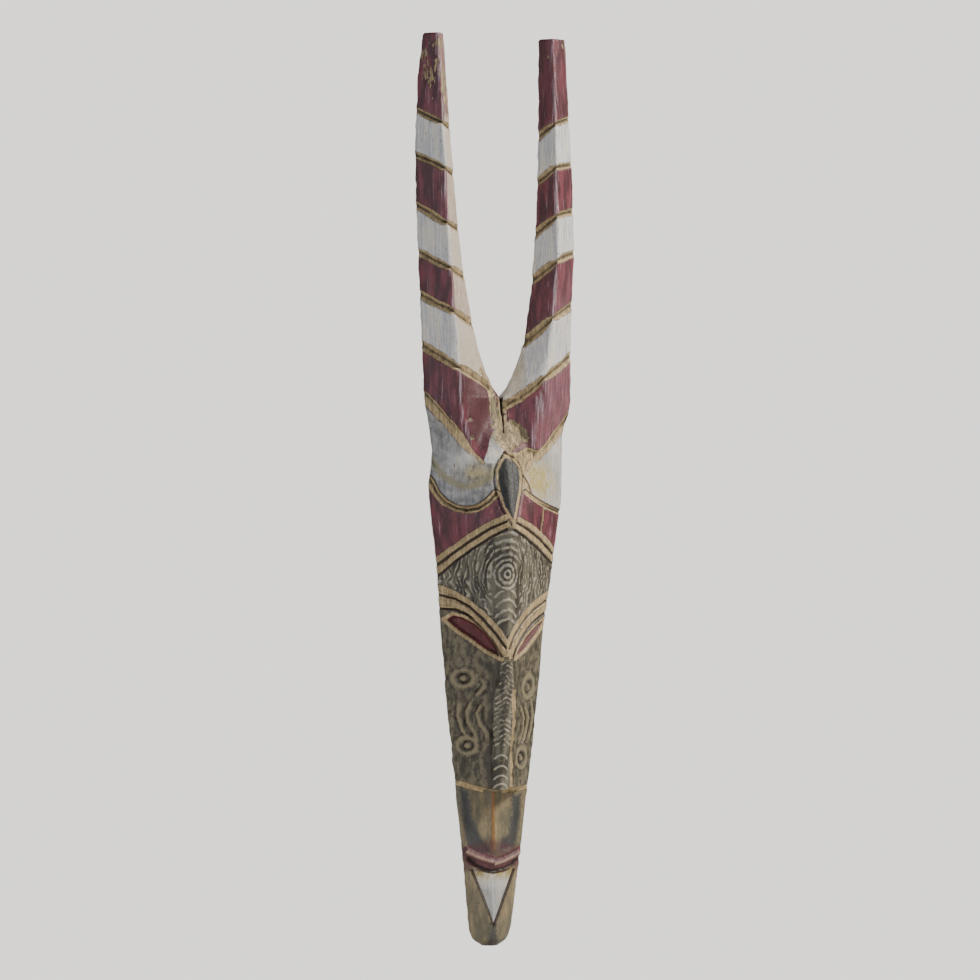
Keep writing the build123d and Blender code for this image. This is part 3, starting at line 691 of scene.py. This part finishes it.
def rowSpan(kind, z):
    # both corners of one row, and its ridge
    ragged = 0.3 * waver(z / 5.0, 0.0, 41)
    left, right, ridge = float(curve["leftEdge"](z)), float(curve["rightEdge"](z)), float(curve["ridgeX"](z))
    if kind == "left":
        ridge, right = float(curve["leftRidge"](z)), float(curve["leftInner"](z))
    if kind == "right":
        left, ridge = float(curve["rightInner"](z)), float(curve["rightRidge"](z))
    worn = max(z - (tips.get(kind, tip) - meshing["endWear"]), 0) * 0.9
    return left + ragged + worn, ridge, right + ragged - worn


def columns(kind, z, half):
    left, ridge, right = rowSpan(kind, z)
    if kind == "head":
        t = np.linspace(0, 1, half + 1)
        return np.concatenate([left + t * (ridge - left), ridge + t[1:] * (right - ridge)])
    return np.linspace(left, right, half + 1)


def backLine(inner, outer, z, kind):
    # half a row of the back, from the middle outwards; a horn's whole row
    if kind == "head":
        rim = math.copysign(min(pocket["halfWidth"], abs(outer) * 0.5), outer)
        past = rim + math.copysign(meshing["pocketRim"], outer)
        stops = np.concatenate([np.linspace(inner, rim, 5), np.linspace(past, outer, 10)])
        depths = backDepth(stops, np.full(stops.shape, z))
    else:
        stops = np.linspace(inner, outer, meshing["backMiddle"] + 1)
        depths = 0.12 + 0.12 * waver(stops / 4, np.full(stops.shape, z / 11), 44)
    return np.stack([stops, -np.maximum(depths, 0), np.full(stops.shape, z)], 1)


def bridge(a, b, flip=False):
    # faces between two lines of vertices, whatever the number in each
    made = []
    if len(a) == len(b):
        made = [(a[i], a[i + 1], b[i + 1], b[i]) for i in range(len(a) - 1)]
    else:
        i = j = 0
        while i < len(a) - 1 or j < len(b) - 1:
            if j == len(b) - 1 or (i < len(a) - 1 and (i + 1) / (len(a) - 1) <= (j + 1) / (len(b) - 1)):
                made.append((a[i], a[i + 1], b[j]))
                i += 1
            else:
                made.append((a[i], b[j + 1], b[j]))
                j += 1
    return [face[::-1] for face in made] if flip else made


def joinRings(low, high):
    faces = [face for part in ("front", "right", "back") for face in bridge(low[part], high[part])]
    return faces + bridge(low["left"], high["left"], flip=True)


def ringOutline(ring):
    return ring["front"] + ring["right"][1:-1] + ring["back"] + ring["left"][1:-1][::-1]


def carvedFront(rows):
    # the front's vertices, pushed in or out by the carving along the surface's own direction
    lines = [columns(*row) for row in rows]
    lengths = [len(line) for line in lines]
    x = np.concatenate(lines)
    z = np.repeat([row[1] for row in rows], lengths)
    kind = np.repeat([("head", "left", "right").index(row[0]) for row in rows], lengths)
    acrossSlope = (depthAt(x + 0.5, z, kind) - depthAt(x - 0.5, z, kind)).clip(-1.2, 1.2)
    upSlope = (depthAt(x, z + 0.5, kind) - depthAt(x, z - 0.5, kind)).clip(-1.2, 1.2)
    normal = np.stack([-acrossSlope, -np.ones_like(x), -upSlope], 1)
    normal /= np.linalg.norm(normal, axis=1)[:, None]
    wood = carve(x, z)
    ends = np.where(kind == 1, tips["left"], np.where(kind == 2, tips["right"], tip))
    atEnd = smoothStep(ends, ends - 3, z) * smoothStep(foot, foot + 3, z)
    first, last = (np.repeat([line[at] for line in lines], lengths) for at in (0, -1))
    atCorner = 0.4 + 0.6 * smoothStep(0, 3, np.minimum(x - first, last - x))
    place = np.stack([x, -depthAt(x, z, kind), z], 1) - normal * (wood.cut * atEnd * atCorner)[:, None]
    place[:, 1] += smoothStep(ends - meshing["endWear"], ends, z) * 0.8
    place[:, 2] = np.clip(place[:, 2], foot, ends)
    return place, wood, np.cumsum([0] + lengths)


def measureHollows(mesh, cut, isFront):
    # how far each place lies below (or above) its smoothed surroundings, for painted shade in hollows and a
    # painted highlight on proud edges
    edges = np.array([edge.vertices for edge in mesh.edges])
    low, high = edges[:, 0], edges[:, 1]
    soft = cut.copy()
    neighbours = np.bincount(edges.ravel(), minlength=len(cut))
    for _ in range(meshing["cavityRounds"]):
        total = np.bincount(low, soft[high], len(cut)) + np.bincount(high, soft[low], len(cut))
        soft = 0.5 * soft + 0.5 * total / np.maximum(neighbours, 1)
    return np.where(isFront, cut - soft, 0)


def buildMask():
    # rings of front, sides and back, joined upwards; the head's top row starts both horns
    rows = frontRows()
    place, wood, starts = carvedFront(rows)
    vertices, source, role = [], [], []  # place, front vertex whose paint it takes, part of the surface

    def add(points, origin, part):
        first = len(vertices)
        vertices.extend(map(tuple, points))
        source.extend(origin)
        role.extend([part] * len(points))
        return list(range(first, first + len(points)))

    def addWall(corner, backPoint, origin, swell):
        t = np.arange(1, meshing["sideSteps"] + 1) / (meshing["sideSteps"] + 1)
        points = corner[None] + t[:, None] * (backPoint - corner)[None]
        uneven = 1 + 0.5 * waver(t * 3, np.full(t.shape, corner[2] / 7), 43)
        points[:, 0] += swell * np.sin(np.pi * t) * uneven
        return add(points, [origin] * len(points), "side")

    rings = []
    for index, (part, height, _) in enumerate(rows):
        leftOrigin, rightOrigin = starts[index], starts[index + 1] - 1
        front = place[leftOrigin:rightOrigin + 1]
        left, right = front[0], front[-1]
        inset = min(meshing["backInset"], 0.26 * (right[0] - left[0]))
        innerInset = min(inset, 0.6 * (height - fork))
        leftEnd = left[0] + (innerInset if part == "right" else inset)
        rightEnd = right[0] - (innerInset if part == "left" else inset)
        if part == "head":
            middle = rowSpan(part, height)[1]
            rightHalf, leftHalf = (backLine(middle, end, height, part) for end in (rightEnd, leftEnd))
            back = np.concatenate([rightHalf[::-1], leftHalf[1:]])
        else:
            back = backLine(rightEnd, leftEnd, height, part)
        frontAt = add(front, range(leftOrigin, rightOrigin + 1), "front")
        backAt = add(back, [leftOrigin] * len(back), "back")
        rightAt = addWall(right, back[0], rightOrigin, 0.9)
        leftAt = addWall(left, back[-1], leftOrigin, -0.9)
        rings.append(dict(part=part, front=frontAt, right=[frontAt[-1]] + rightAt + [backAt[0]], back=backAt,
                          left=[frontAt[0]] + leftAt + [backAt[-1]]))

    chains = {part: [ring for ring in rings if ring["part"] == part] for part in ("head", "left", "right")}
    top, half, middle = chains["head"][-1], meshing["hornColumns"], meshing["backMiddle"]
    frontAt, backAt = top["front"][half], top["back"][middle]
    saddle = addWall(np.array(vertices[frontAt]), np.array(vertices[backAt]), source[frontAt], 0.0)
    saddle = [frontAt] + saddle + [backAt]
    front, back = top["front"], top["back"]
    chains["left"].insert(0, dict(top, front=front[:half + 1], right=saddle, back=back[middle:]))
    chains["right"].insert(0, dict(top, front=front[half:], back=back[:middle + 1], left=saddle))
    faces = []
    for part, chain in chains.items():
        for low, high in zip(chain[:-1], chain[1:]):
            faces += joinRings(low, high)
        if part == "head":
            faces.append(tuple(ringOutline(chain[0])[::-1]))
            continue
        crown = ringOutline(chain[-1])
        faces.append(tuple(crown))
        for index in crown:
            role[index] = "sawn"

    mesh = bpy.data.meshes.new("maskBody")
    mesh.from_pydata((np.array(vertices) * mm).tolist(), [], faces)
    mesh.validate()
    source, role = np.array(source), np.array(role)
    carried = {name: getattr(wood, name)[source].astype(float) for name in paintNames}
    isFront = role == "front"
    carried["cavity"] = measureHollows(mesh, np.where(isFront, carried["cut"], 0), isFront)
    carried["cut"] = carried["cut"] * (role != "back")
    for name in ("back", "sawn"):
        carried[name] = (role == name).astype(float)
    for name, values in carried.items():
        mesh.attributes.new(name, "FLOAT", "POINT").data.foreach_set("value", values)
    return mesh


def linear(hexColour):
    # sRGB hex to the linear colour that shaders use
    parts = [int(hexColour[i:i + 2], 16) / 255 for i in (1, 3, 5)]
    return [p / 12.92 if p <= 0.04045 else ((p + 0.055) / 1.055) ** 2.4 for p in parts] + [1.0]


def addNode(tree, kind, inputs=None, output=0, **settings):
    # adds one node with its settings, links or fills its inputs, and hands back one output
    made = tree.nodes.new("ShaderNode" + kind)
    for name, value in settings.items():
        setattr(made, name, value)
    for key, value in (inputs or {}).items():
        if isinstance(value, bpy.types.NodeSocket):
            tree.links.new(value, made.inputs[key])
        elif isinstance(value, str) and value.startswith("#"):
            made.inputs[key].default_value = linear(value)
        else:
            made.inputs[key].default_value = value
    return made.outputs[output] if made.outputs else None


def newMaterial(name):
    material = bpy.data.materials.new(name)
    material.use_nodes = True
    tree = material.node_tree
    tree.nodes.clear()
    surface = addNode(tree, "BsdfPrincipled")
    addNode(tree, "OutputMaterial", {"Surface": surface})
    return material, tree, surface.node


def speckle(tree, sizeMm, detail=3.0, rough=0.55, shift=0.0):
    # noise whose cells are sizeMm across, in x, y and height
    place = addNode(tree, "TexCoord", output="Object")
    scale = [1 / (size * mm) for size in sizeMm]
    start = [shift, shift * 1.7, shift * 0.6]
    moved = addNode(tree, "Mapping", {"Vector": place, "Scale": scale, "Location": start})
    return addNode(tree, "TexNoise", {"Vector": moved, "Scale": 1.0, "Detail": detail, "Roughness": rough},
                   output="Fac")


def strength(tree, *shares):
    # numbers, areas and soft fades, multiplied; a fade is (pattern, from, to, least, most)
    whole = None
    for share in shares:
        if isinstance(share, tuple):
            pattern, low, high, least, most = share + (0.0, 1.0)[len(share) - 3:]
            limits = {"Value": pattern, "From Min": low, "From Max": high, "To Min": least, "To Max": most}
            share = addNode(tree, "MapRange", limits, interpolation_type="SMOOTHSTEP")
        whole = share if whole is None else addNode(tree, "Math", {0: whole, 1: share}, operation="MULTIPLY")
    return whole


def coats(tree, colour, *layers):
    # colours laid one over another, each as strong as its shares
    for over, *shares in layers:
        mixing = {0: strength(tree, *shares), 6: colour, 7: over}
        colour = addNode(tree, "Mix", mixing, output=2, data_type="RGBA")
    return colour


paintLook = dict(
    maroonDeep="#44232A", maroon="#68333C", maroonWornAndLit="#85606A", sheenLavender="#A99AA6", eyeRed="#6A2228",
    white="#C8C6C3", whiteBlue="#A6A8AC", whiteWarm="#CFC8B6", ochreStain="#A39464", shadedWhite="#606163",
    shadedBlue="#4A4D51", ringOlive="#7B765A", rawLight="#B6A27D", raw="#8F7B58", rawDark="#4C3D28",
    rawGrey="#756B53", khaki="#5C5848", amber="#77552C", dark="#38352C", darkGrey="#666254", cream="#ABA390",
    lavenderCrest="#918B88", olive="#696250", oliveDark="#292720", oliveCrest="#7F755C", patch="#33363A",
    leaf="#101315", leafMid="#15181A", leafLit="#262B2E", lip="#8B6E62", facetWornAndLit="#B4A797", brownLine="#2A1B12",
    hollowShadeAndStain="#1A120C", tint="#4C2B30", back="#6A4F34", backDark="#3F2D1D",
    ior=1.48, specular=0.42, bump=0.8, bumpMm=1.0,
)
# what each noise is, its cells' size in mm, detail, roughness and shift
paintNoise = dict(
    fine=((0.55, 0.55, 10), 3, 0.6, 0.0),  # pores, drawn 0.5 mm wide and 10 mm long so that they show
    streak=((1.7, 1.7, 34), 4, 0.6, 3.0),  # brush and grain streaks
    broad=((7, 7, 26), 3, 0.5, 7.0),
    chips=((1.5, 1.5, 2.6), 5, 0.62, 11.0),
    blotch=((4.5, 4.5, 6), 4, 0.6, 17.0),
    grit=((0.45, 0.45, 0.6), 2, 0.5, 23.0),
    flake=((2.4, 2.4, 7), 4, 0.55, 29.0),
)


def paintedWood():
    # carved light hardwood, brushed with thin matt paint and rubbed back:
    # chipped edges, streaks along the grain, a dull sheen; painted shade in hollows, creases, on the bosses
    # and chin, and painted highlights on lit facets, the leaf and the ridges
    material, tree, shader = newMaterial("carvedWoodBrushedPaint")
    look = paintLook
    on = {name: addNode(tree, "Attribute", output="Fac", attribute_name=name)
          for name in paintNames + ("cavity", "back", "sawn")}
    noise = {name: speckle(tree, *settings) for name, settings in paintNoise.items()}
    fine, streak, broad, chips, blotch, grit, flake = noise.values()
    sums = dict(  # pattern, its share, what it is added to
        mottle=(streak, 0.5, broad), glow=(on["rubbed"], 0.2, streak), crest=(chips, 0.9, on["crest"]),
        leafTurn=(streak, 0.9, on["leafSide"]), leafGlint=(blotch, 0.9, on["leafSide"]),
        wear=(flake, 2.6, on["worn"]), rubbed=(on["rubbed"], 0.10, chips), facetWornAndLit=(blotch, 0.5, streak),
        dirt=(grit, 0.6, chips), dust=(grit, 0.16, 0.92), gloss=(streak, 0.25, 0.36),
    )
    sums = {name: addNode(tree, "Math", dict(enumerate(terms)), operation="MULTIPLY_ADD")
            for name, terms in sums.items()}

    def edge(name, ragged, soft=0.18, push=0.0):
        # the fade of an area's broken edge, ragged by so many mm
        broken = addNode(tree, "Math", {0: chips, 1: ragged * 2, 2: on[name]}, operation="MULTIPLY_ADD")
        return broken, ragged - push - soft, ragged - push + soft

    bareWood = coats(
        tree, look["raw"],
        (look["rawLight"], (streak, 0.35, 0.65)),
        (look["rawDark"], (fine, 0.55, 0.75), 0.6),
        (look["rawGrey"], (blotch, 0.48, 0.68), 0.6),
        (look["rawDark"], (chips, 0.56, 0.68), 0.45),
    )
    maroon = coats(
        tree, look["maroonDeep"],
        (look["maroon"], (broad, 0.38, 0.62)),
        (look["maroonWornAndLit"], (streak, 0.55, 0.72), 0.55),
        # painted highlight on the right horn's lit outer facets
        (look["maroonWornAndLit"], on["litFacet"], (streak, 0.3, 0.6, 0.25, 0.6)),
        (look["eyeRed"], (on["eye"], 0, 1), 0.8),
        # painted sheen along the ridges
        (look["sheenLavender"], (sums["glow"], 0.60, 0.80), 0.6),
        # painted shade, where marked shaded
        (look["maroonDeep"], on["shaded"], 0.8),
    )
    shade = coats(tree, look["shadedWhite"], (look["shadedBlue"], (broad, 0.42, 0.6)))
    white = coats(
        tree, look["whiteBlue"],
        (look["white"], (streak, 0.38, 0.62)),
        (look["whiteWarm"], (broad, 0.5, 0.66), 0.6),
        (shade, on["shaded"], (blotch, 0.35, 0.7, 1.0, 0.55)),
        (look["ochreStain"], on["stain"], (blotch, 0.36, 0.56, 0.35, 1.0)),
    )
    olive = coats(
        tree, look["olive"],
        (look["oliveDark"], (blotch, 0.40, 0.62), 0.8),
        (look["oliveDark"], (broad, 0.48, 0.64), 0.5),
        (look["oliveCrest"], (streak, 0.56, 0.7), 0.5),
        (look["oliveCrest"], (on["crest"], 0.2, 0.7), 0.85),
        (look["dark"], (on["crest"], -0.08, -0.45), 0.9),
    )
    creamy = coats(tree, look["cream"], (look["lavenderCrest"], (blotch, 0.45, 0.6)))
    ground = coats(
        tree, look["dark"],
        (look["darkGrey"], (broad, 0.4, 0.6)),
        (creamy, (sums["crest"], 0.5, 1.35), 0.75),
    )
    # the leaf painted black, its right face painted lighter as if lit, with a painted glint
    leafPaint = coats(
        tree, look["leaf"],
        (look["leafMid"], (sums["leafTurn"], 0.35, 0.65)),
        (look["leafLit"], (sums["leafGlint"], 1.05, 1.4), 0.75),
    )
    lipPaint = coats(tree, look["lip"], (look["maroonWornAndLit"], (blotch, 0.45, 0.65)))
    splinters = coats(
        tree, look["rawGrey"],
        (look["rawLight"], (streak, 0.38, 0.6)),
        (look["rawDark"], (fine, 0.5, 0.7), 0.5),
        (look["khaki"], (broad, 0.42, 0.6), 0.6),
    )
    soot = coats(tree, look["backDark"], (look["back"], (streak, 0.35, 0.65)))
    wornAway = strength(tree, (sums["wear"], 1.90, 2.00))
    rubbedOff = strength(tree, (sums["rubbed"], 0.70, 0.74))
    notBack = addNode(tree, "Math", {0: 1.0, 1: on["back"]}, operation="SUBTRACT")

    painted = [  # bottom coat first
        (olive, edge("cheek", 1.2)),
        (look["patch"], edge("patch", 3.0, 2.4), 0.9),
        (look["amber"], edge("amber", 1.2, 0.8), 0.8),
        (maroon, edge("red", 1.4, push=0.4)),
        (white, edge("white", 1.4, push=0.2)),
        (look["ringOlive"], edge("ringArc", 2.6, 1.4), 0.8),
        # the left horn's inner facet paled: partly worn paint, partly painted glare
        (look["facetWornAndLit"], on["innerFacet"], (sums["facetWornAndLit"], 0.5, 0.9, 0.6, 0.95)),
        (look["tint"], edge("smear", 3.0, 3.0), 0.6),
        (bareWood, rubbedOff, 0.8),
        (ground, edge("dark", 0.8, push=0.2)),
        (splinters, wornAway),
        # dark outline along the bare grooves: partly dark paint, partly painted shade at their edges
        (look["brownLine"], edge("raw", 0.9, 0.35, 0.5), (blotch, 0.35, 0.65, 0.15, 0.85)),
        (bareWood, edge("raw", 1.0, 0.25, -0.15)),
        # dark lines in undercuts, above rims, in the crack and round lip and chin: partly dark paint, partly
        # painted shade
        (look["brownLine"], edge("line", 0.5, 0.3), 0.9),
        (leafPaint, edge("leaf", 0.5, push=-1.7)),
        (lipPaint, edge("lip", 1.2, 0.6, -1.9), 0.9),
        (look["brownLine"], on["lowEnd"], 0.75),
    ]
    colour = coats(tree, bareWood, (look["khaki"], on["muzzle"], (sums["mottle"], 0.55, 0.85, 0.5, 1.0)))
    colour = coats(tree, colour, *[layer + (notBack,) for layer in painted])
    colour = coats(
        tree, colour,
        (soot, on["back"]),
        # darker where cut deeper and in hollows: partly dark stain, partly painted shade; proud edges
        # lighter: partly wear, partly a painted highlight
        (look["brownLine"], (on["cut"], 0.6, 3.0), (blotch, 0.3, 0.7, 0.2, 0.6)),
        (look["hollowShadeAndStain"], (on["cavity"], 0.03, 0.5), (chips, 0.3, 0.7, 0.95, 0.5)),
        (look["rawLight"], (on["cavity"], -0.12, -0.6), 0.35, notBack),
        (look["brownLine"], (sums["dirt"], 0.88, 1.0), 0.4),
    )
    colour = addNode(tree, "HueSaturation", {"Color": colour, "Value": sums["dust"]})

    bare = strength(tree, edge("raw", 0.7, 0.25, -0.15))
    for more in (wornAway, rubbedOff, on["sawn"]):
        bare = addNode(tree, "Math", {0: bare, 1: more}, operation="MAXIMUM")
    rough = addNode(tree, "Math", {0: bare, 1: 0.30, 2: sums["gloss"]}, operation="MULTIPLY_ADD")
    unworn = addNode(tree, "Math", {0: 1.0, 1: wornAway}, operation="SUBTRACT")
    height = 0.0
    flakes = strength(tree, chips, unworn)
    for pattern, share in ((streak, 0.40), (fine, 0.25), (flakes, 0.40), (bare, -0.14)):
        height = addNode(tree, "Math", {0: pattern, 1: share, 2: height}, operation="MULTIPLY_ADD")
    bump = {"Height": height, "Strength": look["bump"], "Distance": look["bumpMm"] * mm}
    relief = addNode(tree, "Bump", bump)
    for key, value in (("Base Color", colour), ("Roughness", rough), ("Normal", relief)):
        tree.links.new(value, shader.inputs[key])
    shader.inputs["IOR"].default_value = look["ior"]
    shader.inputs["Specular IOR Level"].default_value = look["specular"]
    return material


steelLook = dict(
    rust="#6B3F22", bump=0.35, bumpMm=0.15,
    # base, dull colour, cloud size in mm, rust, roughness
    zincPlatedStrip=("#8E9294", "#6E7274", 3.5, 0.03, 0.34),
    drawnWire=("#A3A6A8", "#8E9294", 1.2, 0.0, 0.24),
    turnedScrewSteel=("#8E9294", "#4A4A48", 1.0, 0.06, 0.38),
)


def hangerSteel(name):
    # mild steel, zinc plated, drawn or turned: cloudy bright metal, dull where handled, a little rust
    material, tree, shader = newMaterial(name)
    base, dull, cloudMm, rusted, roughness = steelLook[name]
    cloud = speckle(tree, (cloudMm, cloudMm, cloudMm), 3, 0.5)
    scratch = speckle(tree, (0.25, 0.25, 5), 2, 0.5, 5.0)
    spots = speckle(tree, (1.6, 1.6, 1.6), 5, 0.65, 9.0)
    rust = strength(tree, (spots, 0.70 - rusted, 0.80 - rusted))
    colour = coats(tree, dull, (base, (cloud, 0.4, 0.62)), (steelLook["rust"], rust))
    scratched = addNode(tree, "Math", {0: scratch, 1: 0.2, 2: roughness}, operation="MULTIPLY_ADD")
    rough = addNode(tree, "Math", {0: rust, 1: 0.4, 2: scratched}, operation="MULTIPLY_ADD")
    metal = addNode(tree, "Math", {0: 1.0, 1: strength(tree, rust, 0.85)}, operation="SUBTRACT")
    height = addNode(tree, "Math", {0: rust, 1: 0.4, 2: scratch}, operation="MULTIPLY_ADD")
    bump = {"Height": height, "Strength": steelLook["bump"], "Distance": steelLook["bumpMm"] * mm}
    relief = addNode(tree, "Bump", bump)
    for key, value in (("Base Color", colour), ("Roughness", rough), ("Metallic", metal), ("Normal", relief)):
        tree.links.new(value, shader.inputs[key])
    return material


view = dict(azimuth=-15.0, distance=5.0, width=0.8134, focusAhead=0.03, aim=(0.0, 0.0, -0.0487), sensor=36)
room = dict(wall="#D9D7D2", light=0.5, bright=2.3, lightAim=(0, 0, -0.02),
            floor="#DAD8D3", floorPale="#E3E1DC", floorDrop=0.56, floorRadius=1.15, floorSides=96)
lamps = [  # name, place, size, power, colour
    ("key", (1.35, -0.95, 1.35), 0.4, 86, "#FFF8EE"),
    ("fill", (-1.8, -1.3, 0.3), 1.4, 18, "#EEF2FF"),
    ("behind", (0.4, 1.8, 0.8), 1.2, 18, "#FFFFFF"),
]


def placeNew(name, data):
    made = bpy.data.objects.new(name, data)
    bpy.context.scene.collection.objects.link(made)
    return made


def makeCamera():
    camera = placeNew("camera", bpy.data.cameras.new("camera"))
    turn, away, aim = math.radians(view["azimuth"]), view["distance"], view["aim"]
    camera.location = (aim[0] + away * math.sin(turn), -away * math.cos(turn), aim[2])
    camera.rotation_euler = (math.radians(90), 0, turn)
    camera.data.sensor_width = view["sensor"]
    camera.data.lens = view["sensor"] * (away - view["focusAhead"]) / view["width"]
    bpy.context.scene.camera = camera


def makeLamp(name, place, size, power, colour):
    lamp = bpy.data.lights.new(name, "AREA")
    lamp.shape, lamp.size, lamp.energy = "DISK", size, power
    lamp.color = linear(colour)[:3]
    made = placeNew(name, lamp)
    made.location = place
    direction = mathutils.Vector(room["lightAim"]) - mathutils.Vector(place)
    made.rotation_euler = direction.to_track_quat("-Z", "Y").to_euler()


def makeRoom():
    world = bpy.data.worlds.new("paleRoom")
    bpy.context.scene.world = world
    world.use_nodes = True
    backdrop = world.node_tree.nodes["Background"]
    backdrop.inputs["Color"].default_value = linear(room["wall"])
    seen = addNode(world.node_tree, "LightPath", output="Is Camera Ray")
    limits = {"Value": seen, "To Min": room["light"], "To Max": room["bright"]}
    glow = addNode(world.node_tree, "MapRange", limits)
    world.node_tree.links.new(glow, backdrop.inputs["Strength"])
    radius, turns = room["floorRadius"], np.linspace(0, 2 * np.pi, room["floorSides"] + 1)[:-1]
    rim = [(radius * math.cos(t), radius * math.sin(t), -room["floorDrop"]) for t in turns]
    floorMesh = bpy.data.meshes.new("floor")
    floorMesh.from_pydata(rim, [], [tuple(range(len(rim)))])
    floor = placeNew("floor", floorMesh)
    material, tree, shader = newMaterial("limeWashedScreed")
    mottle = speckle(tree, (60, 60, 60), 3, 0.5)
    tree.links.new(coats(tree, room["floor"], (room["floorPale"], mottle)), shader.inputs["Base Color"])
    shader.inputs["Roughness"].default_value = 0.8
    floorMesh.materials.append(material)
    for lamp in lamps:
        makeLamp(*lamp)


makeCamera()
makeRoom()
print("camera and room ready")

maskMesh = buildMask()
print("mask mesh:", len(maskMesh.vertices), "vertices,", len(maskMesh.polygons), "faces")
maskMesh.materials.append(paintedWood())
for polygon in maskMesh.polygons:
    polygon.use_smooth = True
maskMesh.set_sharp_from_angle(angle=math.radians(meshing["sharpAngle"]))
mask = placeNew("paintedMask", maskMesh)
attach(mask, "mask")
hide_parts("carved_body")

steels = {name: hangerSteel(name) for name in ("zincPlatedStrip", "drawnWire", "turnedScrewSteel")}
finishes = dict(hanger_strap="zincPlatedStrip", hanger_ring="drawnWire",
                hanger_screw_upper="turnedScrewSteel", hanger_screw_lower="turnedScrewSteel")
for name, finish in finishes.items():
    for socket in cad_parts[name].material_slots:
        socket.material = steels[finish]
print("finishes assigned")
